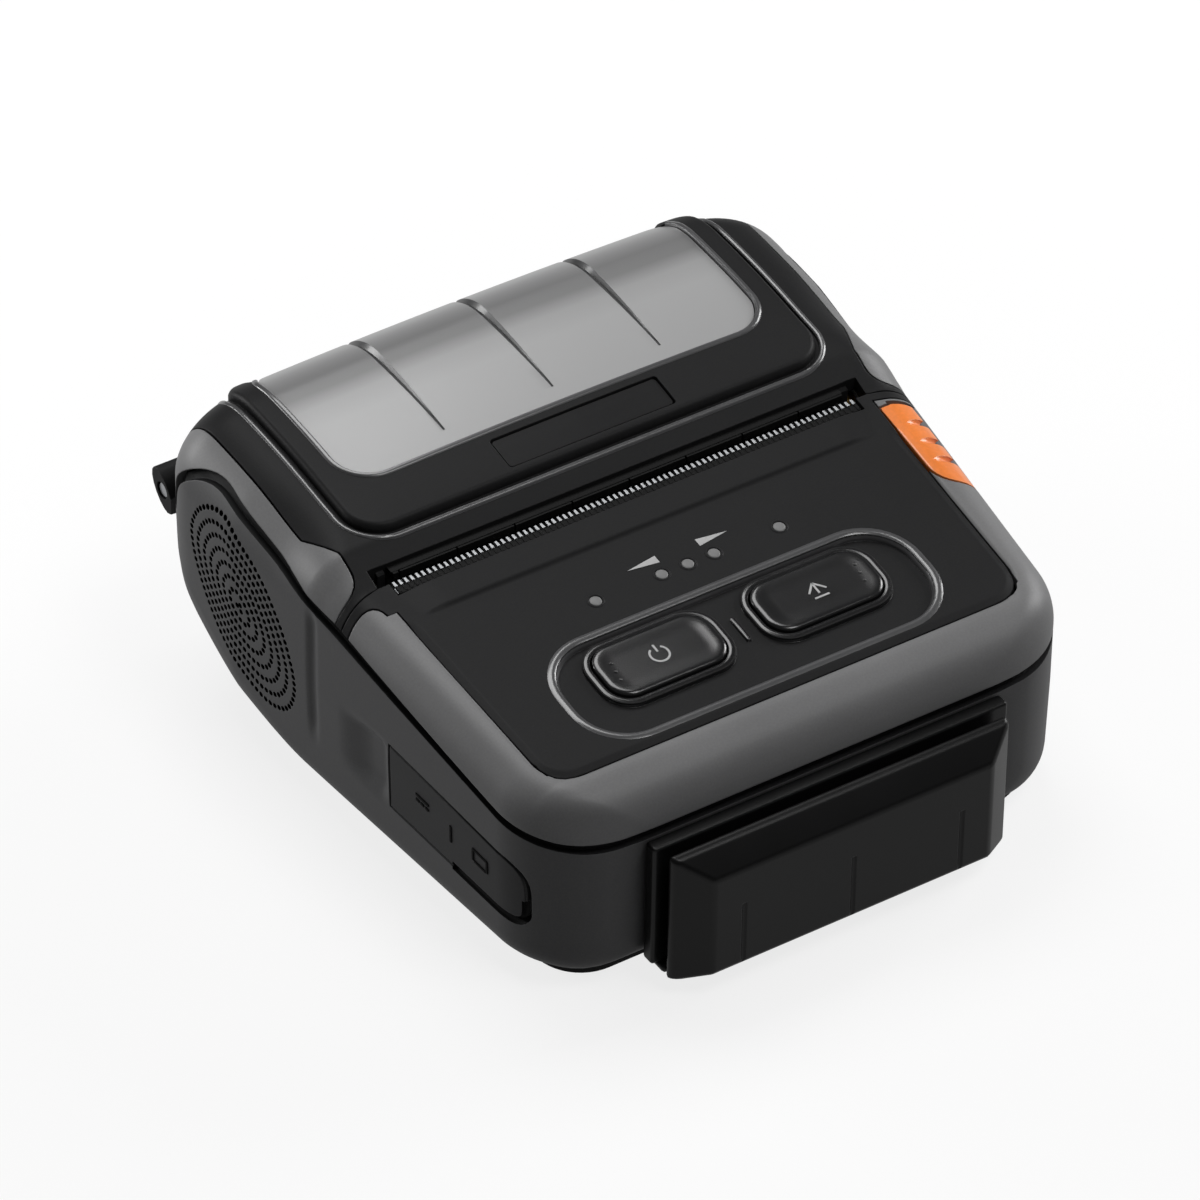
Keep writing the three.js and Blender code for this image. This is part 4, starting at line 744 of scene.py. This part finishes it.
for hand in (-1, 1):
    corners = [wedges.verts.new((hand * far, near, 0)) for far, near in ((3.6, -0.75), (3.6, 0.75), (8.9, 0))]
    face = wedges.faces.new(corners)
    lifted = bmesh.ops.extrude_face_region(wedges, geom=[face])["geom"]
    bmesh.ops.translate(
        wedges, vec=(0, 0, 0.08), verts=[item for item in lifted if isinstance(item, bmesh.types.BMVert)])
bmesh.ops.recalc_face_normals(wedges, faces=wedges.faces)
bmesh.ops.transform(wedges, matrix=on_panel(0, -10.35, -0.04), verts=wedges.verts)
placed("level_wedges", wedges, sign_grey, "case")

# Tear blade: a steel strip let into the panel's rear edge, with square teeth ground along it. A black
# ribbed comb lies in front of the teeth and guides the paper over them.
blade_steel = metal("blade_steel", (0.4, 0.41, 0.42), 0.5, (1, 0.1, 1))
teeth = 83
blade = bmesh.new()
block(((-41.45, 41.45), (-2.2, -1.1), (-0.65, -0.3)), blade)
for k in range(teeth):
    bmesh.ops.create_cone(
        blade, cap_ends=True, segments=4, radius1=0.38, radius2=0.28, depth=1.1,
        matrix=Matrix.Translation((k - teeth // 2, -0.5, -0.32)) @ Matrix.Rotation(-math.pi / 2, 4, "X")
        @ Matrix.Rotation(math.pi / 4, 4, "Z"))
bmesh.ops.transform(blade, matrix=on_panel(0, tear_y, 0), verts=blade.verts)
placed("tear_blade", blade, blade_steel, "case", ["tear_bar"])
comb_black = moulded(
    "comb_black", (0.005, 0.005, 0.005), 0.5, 0.0004, 0.000004, edge=0.00008, wear=0.02, shine=0.1)
comb = bmesh.new()
block(((-41.3, 41.3), (-2.5, -1.25), (-0.3, 0.0)), comb)
for k in range(teeth):
    block(((k - 41.25, k - 40.8), (-2.3, -1.05), (-0.1, 0.1)), comb)
bmesh.ops.transform(comb, matrix=on_panel(0, tear_y, -0.05), verts=comb.verts)
placed("blade_comb", comb, comb_black, "case")

# Release lever: a bright orange moulding let into the bumper's right end, whose inner flank reaches the
# panel's edge. Three grip grooves run over its shoulder, and pressing its outer end frees the cover.
lever_orange = moulded("lever_orange", (0.86, 0.22, 0.03), 0.38, 0.0006, 0.000003, wear=0.15, coat=0.5)
lever_cap = shown("lever_cap", swollen("release_lever", front_skin), lever_orange)
worked(lever_cap, front_form.copy(), "INTERSECT")
flank_gap, flank_depth, flank_room, above_all = 0.35, 1.8, 0.3, 60


def curved(start, bend, end, steps=6):
    return [start.lerp(bend, k / steps).lerp(bend.lerp(end, k / steps), k / steps) for k in range(steps + 1)]


def lever_flank(grow, rear):
    """The lever's inner flank in plan, from the panel's edge round its front corner, as a tall prism."""
    first = Vector((panel_edge(rear) + flank_gap, rear))
    line = [first] + curved(
        Vector((panel_edge(-12.8) + flank_gap, -12.8)), Vector((panel_edge(-18) + flank_gap, -18.2)),
        Vector((49.4, -18.3)), 8)
    line = [point - Vector((grow, grow * (0 if k < 2 else 1))) for k, point in enumerate(line)]
    line += [Vector((49.4, -16.2)), Vector((46.4, -12)), Vector((46.4, rear))]
    prism = bmesh.new()
    low = [prism.verts.new((point.x, point.y, panel_height(point.y) - flank_depth - grow)) for point in line]
    raised = bmesh.ops.extrude_face_region(prism, geom=[prism.faces.new(low)])["geom"]
    for item in raised:
        if isinstance(item, bmesh.types.BMVert):
            item.co.z = above_all
    bmesh.ops.recalc_face_normals(prism, faces=prism.faces)
    return prism


flank = shown("flank", lever_flank(0, 0.45), lever_orange)
combined(lever_cap, worked(flank, front_form.copy(), "INTERSECT"), "UNION")
worked(bumper_band, lever_flank(flank_room, 0.9), "DIFFERENCE", bumper_grey)
fitted(bumper_band, "case", ["front_bumper"])
groove_radius, groove_depth, groove_inwards = 0.75, 0.2, 2.8
for groove_y in (-12.6, -8.4, -4.2):
    half, top, _, upper, _ = section(groove_y, 0)
    axle = Vector((half - upper - 0.9 * groove_inwards, groove_y, top - upper - 0.43 * groove_inwards))
    rim = axle + Vector((0, 0, upper + groove_inwards - groove_depth))
    cutter = bmesh.new()
    bmesh.ops.create_circle(
        cutter, segments=12, radius=groove_radius,
        matrix=Matrix.Translation(rim) @ Matrix.Rotation(math.pi / 2, 4, "Y"))
    bmesh.ops.spin(
        cutter, geom=cutter.edges[:], cent=axle, axis=(0, 1, 0), angle=2 * math.pi, steps=48, use_merge=True)
    bmesh.ops.remove_doubles(cutter, verts=cutter.verts, dist=1e-4)
    bmesh.ops.recalc_face_normals(cutter, faces=cutter.faces)
    worked(lever_cap, cutter, "DIFFERENCE", lever_orange)
fitted(lever_cap, "release_lever", ["release_lever"])

# Port door: a soft black-grey flap over the two sockets, hinged at its rear edge. A rounded gap runs
# round it and widens to a nail slot at its lower front, and it carries raised signs for its two sockets.
door_plastic = moulded("door_plastic", (0.038, 0.038, 0.039), 0.55, 0.00034, 0.000006, shine=0.2)
door_form = hull(
    spread((body_front, -47, 0.35), (-47, -36.6, 0.7), (-36.6, -8, 1.5), (-8, body_rear, 8)),
    spread((0, 46, 8)), spread((0, 1, 0.04)), no_relief)
door_flap = shown("door_flap", swollen("port_door", BVHTree.FromBMesh(door_form)), door_plastic)
worked(door_flap, door_form, "INTERSECT", door_plastic)


def on_side(y, z):
    """The place on the tub's left side at a height and a distance back."""
    return case_skin.ray_cast(Vector((-80, y, z)), Vector((1, 0, 0)))[0]


def side_rod(path, radius, closed):
    """A round rod laid on the tub's left side along a path of places back and up."""
    def corner(column, row):
        middle, before, after = path[row], path[row - 1], path[(row + 1) % len(path)]
        if not closed and row in (0, len(path) - 1):
            before, after = path[max(row - 1, 0)], path[min(row + 1, len(path) - 1)]
        ahead = (after - before).normalized()
        turn = column / 10 * 2 * math.pi
        seat_at = on_side(middle.x, middle.y)
        across = Vector((0, -ahead.y, ahead.x))
        return seat_at + radius * (math.cos(turn) * across + math.sin(turn) * Vector((1, 0, 0)))
    return wrapped(10, len(path), corner, endless=closed)


upper_front = curved(Vector((-37.4, 22.99)), Vector((-42.3, 22.85)), Vector((-42.3, 18)))
lower_front = curved(Vector((-42.3, 14.2)), Vector((-42.3, 11.65)), Vector((-39.6, 11.7)))
upper_line = [Vector((-10.3, 25.1)).lerp(upper_front[0], k / 12) for k in range(12)]
lower_line = [lower_front[-1].lerp(Vector((-12.7, 12.85)), k / 12) for k in range(1, 13)]
rear_line = [Vector((-10.3, 13)).lerp(Vector((-10.3, 25.1)), k / 6) for k in range(6)]
door_line = upper_line + upper_front + lower_front + lower_line + rear_line
nail_line = [lower_front[-1].lerp(Vector((-25.8, 12.3)), k / 6) for k in range(6, 0, -1)]
nail_line += lower_front[::-1] + [Vector((-42.3, 16.2))]
# The nail slot is painted near black, as its shade. The gap round the door keeps the door's colour.
door_cuts = ((door_line, 0.3, True, door_plastic), (nail_line, 0.8, False, dot_black))
for piece, (path, radius, closed, material) in itertools.product((door_flap, case_tub), door_cuts):
    worked(piece, side_rod(path, radius, closed), "DIFFERENCE", material)
fitted(door_flap, "port_door", ["port_door"])
fitted(case_tub, "case", ["lower_case"])
signs = bmesh.new()


def raised_mark(y, z, along, tall):
    """A short raised bar on the door, whose middle and size are given on the side's face."""
    seat_at = on_side(y, z)
    back = (on_side(y + 2, z + 0.16) - on_side(y - 2, z - 0.16)).normalized()
    over = (on_side(y, z + 2) - on_side(y, z - 2)).normalized()
    out = over.cross(back)
    axes = Matrix((back, over, out)).transposed().to_4x4()
    bmesh.ops.create_cube(
        signs, size=1, matrix=Matrix.Translation(seat_at) @ axes @ Matrix.Diagonal((along, tall, 0.3, 1)))


raised_mark(-18.6, 20.2, 3.2, 0.42)
for place in (-19.75, -18.6, -17.45):
    raised_mark(place, 19.2 + 0.08 * (place + 18.6), 0.8, 0.42)
raised_mark(-25.6, 18.4, 0.42, 3.2)
raised_mark(-32.8, 19.3, 3.6, 0.42)
raised_mark(-32.8, 17.1, 2.8, 0.42)
for place, lean in ((-34.5, 1), (-31.1, -1)):
    raised_mark(place, 18.2 + 0.08 * (place + 32.8), 0.42, 2.2)
placed("door_signs", signs, dot_black, "port_door")

# Card reader: a chamfered block in front of a wall with the card slot between them, both black. Three
# moulded nicks run down the block's face.
def softened(node, width, steps=3):
    """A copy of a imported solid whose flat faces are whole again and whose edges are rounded."""
    form = solid_copy(node)
    bmesh.ops.dissolve_limit(
        form, angle_limit=math.radians(1), verts=form.verts, edges=form.edges, use_dissolve_boundaries=False)
    edges = [edge for edge in form.edges if edge.calc_face_angle(0) > math.radians(12)]
    bmesh.ops.bevel(
        form, geom=edges, offset=width, offset_type="OFFSET", affect="EDGES", segments=steps, profile=0.5,
        material=-1, clamp_overlap=True)
    return form


reader_black = moulded("reader_black", (0.005, 0.005, 0.0052), 0.32, 0.0003, 0.000006, shine=0.25)
reader_face = shown("reader_face", softened("card_reader_block", 0.7), reader_black)
for x in (-19.42, 0, 19.42):
    cutter = bmesh.new()
    bmesh.ops.create_cone(
        cutter, cap_ends=True, segments=12, radius1=0.5, radius2=0.5, depth=12,
        matrix=Matrix.Translation((x, -59.4, 10)))
    worked(reader_face, cutter, "DIFFERENCE")
fitted(reader_face, "case", ["card_reader_block"])
rear_parts = ("reader_back", "card_reader_wall", 0.5), ("reader_step", "card_reader_floor", 0.75)
for name, node, width in rear_parts:
    placed(name, softened(node, width), reader_black, "case", [node])

# Paper cover: a black textured shell that swings up on the rear pin. A raised platform with a rolled lip
# carries the window, and a groove runs round the foot of the platform. The lip at the platform's foot and
# the one round the window are painted lighter than black, as their highlight.
cover_black = moulded("cover_black", (0.016, 0.016, 0.0165), 0.45, 0.0003, 0.000016, wear=0.05, shine=0.08)
platform_front, platform_rear, platform_half, platform_corner, platform_rise = 11.34, 54.7, 42, 6, 1.1
window_half, window_front, window_rear, window_corner = 37.4, 21.4, 53.2, 6


def platform_depth(x, y):
    sideways, lengthways = platform_half - abs(x), min(y - platform_front, platform_rear - y)
    if sideways < platform_corner and lengthways < platform_corner:
        return platform_corner - math.hypot(platform_corner - sideways, platform_corner - lengthways)
    return min(sideways, lengthways)


def cover_relief(x, y, z):
    depth = platform_depth(x, y)
    if depth <= 0 or z < 34:
        return 0
    share = min(depth / 0.9, 1)
    behind_window = eased(y, 50.4, 52) * (1 - eased(abs(x), window_half - 0.5, window_half + 0.5))
    return platform_rise * arc_height(1, 1 - share) * (1 - 0.8 * behind_window)


cover_rows = spread(
    (body_front, 2, 8), (2, 11.1, 0.7), (11.1, 18, 0.22), (18, 43.5, 0.9), (43.5, 52.3, 0.3),
    (52.3, body_rear, 0.25),
)
cover_across = spread((0, 35.5, 2.4), (35.5, 43.4, 0.24), (43.4, 46, 0.5))
cover_form = hull(cover_rows, cover_across, spread((0, 1, 0.05)), cover_relief)
cover_skin = BVHTree.FromBMesh(cover_form)
barrel_room = [((-41.35, 41.35), (52.2, 60), (23.5, 31.2))]
cover_trim = shown("cover_trim", cover_form.copy())
for room in barrel_room:
    worked(cover_trim, block(room), "UNION")
cover_top = shown("cover_top", swollen("cover_shell", cover_skin, barrel_room), cover_black)
combined(cover_top, cover_trim, "INTERSECT")
platform_outline = round_outline(
    (0, (platform_front + platform_rear) / 2), platform_half, (platform_rear - platform_front) / 2,
    platform_corner)


def open_behind(outline, limit):
    """The part of an outline that lies before a place, from its rear left end round to its rear right."""
    start = next(k for k, place in enumerate(outline) if place[0] < 0)
    return [place for place in outline[start:] + outline[:start] if place[1] < limit]


def rail(path, profile, rise=0.0):
    """A closed profile of outward and upward steps carried along an open path on the body's skin."""
    return wrapped(len(profile), len(path), lambda column, row: stepped(path[row], profile[column], rise))


foot_path = open_behind(platform_outline, 54)
foot_groove = [(-0.05, 1.6), (-0.05, -0.5), (0.6, -0.5), (0.85, 1.6)]
worked(cover_top, rail(foot_path, foot_groove), "DIFFERENCE", cover_black)
foot_lip = [
    (0.7, -0.9), (0.72, -0.05), (0.85, 0.16), (1.1, 0.27), (1.35, 0.24), (1.55, 0.1), (1.62, -0.15),
    (1.62, -0.9),
]
worked(cover_top, rail(foot_path, foot_lip), "UNION", lip_painted_highlight)
window_outline = round_outline(
    (0, (window_front + window_rear) / 2), window_half, (window_rear - window_front) / 2, window_corner)
window_lip = [
    (0.12, -1.7), (0.12, -0.1), (0.2, 0.12), (0.42, 0.27), (0.7, 0.28), (0.95, 0.2), (1.1, 0.05),
    (1.15, -0.15), (1.15, -1.7),
]
window_rim = rail(open_behind(window_outline, 50.5), window_lip, rise=platform_rise)
worked(cover_top, window_rim, "UNION", lip_painted_highlight)
fitted(cover_top, "cover", ["cover_shell"])
# The guide is near black and stands tall, to fill the dark band under the cover's front lip. Its part is real
# and black, and its size and darkness there are partly painted shade.
guide = bmesh.new()
notches = [-40.4] + [-39.2 + 10.2 * k for k in range(8)] + [40.4]
for start, end in zip(notches, notches[1:]):
    block(((start + 0.16, end - 0.16), (5.3, 8.2), (41.35, 42.5)), guide)
    block(((start, end), (5.7, 8.2), (41.5, 42.6)), guide)
placed("paper_guide", guide, comb_black, "cover")

# Wings: grey satin covers clipped into both shoulders of the paper cover, in line with the bumper.
for side in ("left", "right"):
    wing = shown("wing_skin_" + side, swollen("cover_wing_" + side, cover_skin), bumper_grey)
    worked(wing, cover_form.copy(), "INTERSECT")
    fitted(wing, "cover", ["cover_wing_" + side])

# Window: a smoky, half clear sheet clicked into the platform. Three shallow grooves, wider to the rear,
# run down it, their faces painted darker as shade, and a darker band across the sheet is a painted
# reflection.
window_rise = 0.7
window_form = hull(
    spread((body_front, 20, 8), (20, 25, 0.3), (25, 43.5, 0.9), (43.5, 54, 0.4), (54, body_rear, 0.3)),
    spread((0, 38, 2), (38, 46, 4)), spread((0, 1, 0.25)), lambda x, y, z: window_rise)
window_smoke, tree = blank("window_smoke")
seat = added(tree, "TexCoord").outputs["Object"]
drift = added(tree, "TexNoise", {"Scale": 25, "Vector": seat}).outputs["Fac"]
back = added(tree, "SeparateXYZ", {"Vector": seat}).outputs["Y"]
reach_in = added(tree, "MapRange", {
    "From Min": window_front / 1000, "From Max": window_rear / 1000,
    "Value": reckoned(tree, "MULTIPLY_ADD", drift, 0.0016, back)})
# Painted reflection: the ramp darkens the sheet's colour in a band across it, a little behind its middle.
painted_reflection_band = added(tree, "ValToRGB", {"Fac": reach_in.outputs["Result"]})
reflection_band_stops = [
    (0.0, 0.33), (0.42, 0.34), (0.56, 0.3), (0.66, 0.17), (0.76, 0.16), (0.86, 0.25), (1.0, 0.32),
]
while len(painted_reflection_band.color_ramp.elements) < len(reflection_band_stops):
    painted_reflection_band.color_ramp.elements.new(0.5)
for stop, (place, tone_value) in zip(painted_reflection_band.color_ramp.elements, reflection_band_stops):
    stop.position = place
    stop.color = (tone_value, tone_value, tone_value * 1.005, 1)
fed(tree, tree.nodes["Principled BSDF"], {
    "Base Color": painted_reflection_band.outputs["Color"], "Roughness": ranged(tree, drift, 0.28, 0.4),
    "Normal": added(tree, "Bevel", {"Radius": 0.0004}, samples=4).outputs["Normal"],
    "Coat Weight": 0.25, "Coat Roughness": 0.2})
# The grooves' faces are painted much darker than the sheet, as painted shade.
groove_painted_shade = moulded(
    "groove_painted_shade", (0.035, 0.035, 0.036), 0.3, 0.002, 0.000001, edge=0.0001, wear=0, coat=0.4)
window_glass = shown("window_glass", lip(window_outline, [(0, -60), (0, 60)], ends=True), window_smoke)
worked(window_glass, window_form, "INTERSECT")
under = hull(
    spread((body_front, 18, 8), (18, 50, 1.2), (50, body_rear, 0.6)), spread((0, 38, 4), (38, 46, 4)),
    spread((0, 1, 0.25)), lambda x, y, z: -0.9)
worked(window_glass, under, "DIFFERENCE", window_smoke)
groove_rows = spread((window_front + 3.1, 44, 0.8), (44, window_rear + 0.6, 0.4))


def window_groove(middle):
    """A V cut along the window that starts as a point and grows wider and deeper to the rear."""
    def corner(column, row):
        y = groove_rows[row]
        half = between(0.06, 0.85, eased(y, window_front - 6, window_rear))
        across, depth = [(-half, 0.3), (-half, 0), (0.1, -0.85 * half), (half, 0), (half, 0.3)][column]
        x = middle + across
        return x, y, skin_height(x, y, window_rise) + depth
    return wrapped(5, len(groove_rows), corner)


for middle in (-19.4, 0, 19.4):
    worked(window_glass, window_groove(middle), "DIFFERENCE", groove_painted_shade)
fitted(window_glass, "cover", ["cover_window"])

# Name plate: a small bare plate glued into a seat at the front of the platform, black and a little
# smoother than the cover.
plate_black = moulded("plate_black", (0.012, 0.012, 0.0125), 0.35, 0.0005, 0.000003, edge=0.00015, shine=0.1)
finished(["name_plate"], plate_black)

# Studio: a pale floor that keeps the printer's shadow, a white surround and four soft lamps: the
# strongest above and behind, one above the front, one at the right and a weak one low at the left rear.
floor_form = bmesh.new()
bmesh.ops.create_grid(floor_form, x_segments=1, y_segments=1, size=3)
floor_white, tree = blank("floor_white")
floor = shown("floor", floor_form, floor_white)
tree.nodes.clear()
path = added(tree, "LightPath").outputs
seen = reckoned(tree, "MAXIMUM", path["Is Camera Ray"], path["Is Glossy Ray"])
matte = added(tree, "BsdfDiffuse", {"Color": ranged(tree, path["Is Camera Ray"], 0.22, 0.9)})
blend = added(tree, "MixShader", {
    "Fac": reckoned(tree, "MULTIPLY", seen, ranged(tree, path["Is Camera Ray"], 0.4, 0.8)),
    1: matte.outputs["BSDF"], 2: added(tree, "Emission").outputs["Emission"]})
added(tree, "OutputMaterial", {"Surface": blend.outputs["Shader"]})

world = bpy.data.worlds.new("surround")
bpy.context.scene.world = world
world.use_nodes = True
tree = world.node_tree
path = added(tree, "LightPath").outputs
seen = reckoned(tree, "MAXIMUM", path["Is Camera Ray"], path["Is Transmission Ray"])
fed(tree, tree.nodes["Background"], {"Color": (1, 1, 1, 1), "Strength": ranged(tree, seen, 0.08, 1)})

for name, place, size, power in [
    ("lamp_above", (0.1, 0.55, 0.95), 0.6, 6.0),
    ("lamp_front", (0.2, -0.4, 0.95), 0.4, 2.8),
    ("lamp_left", (-0.27, 0.37, 0.12), 0.2, 1.0),
    ("lamp_right", (0.8, 0.05, 0.35), 0.4, 4.4),
]:
    lamp = bpy.data.lights.new(name, "AREA")
    lamp.size = size
    lamp.energy = power
    stand = bpy.data.objects.new(name, lamp)
    stand.matrix_world = Matrix.Translation(place) @ (
        Vector(place) - Vector((0, 0, 0.03))).to_track_quat("Z", "Y").to_matrix().to_4x4()
    bpy.context.scene.collection.objects.link(stand)

bpy.context.scene.view_settings.view_transform = "Standard"
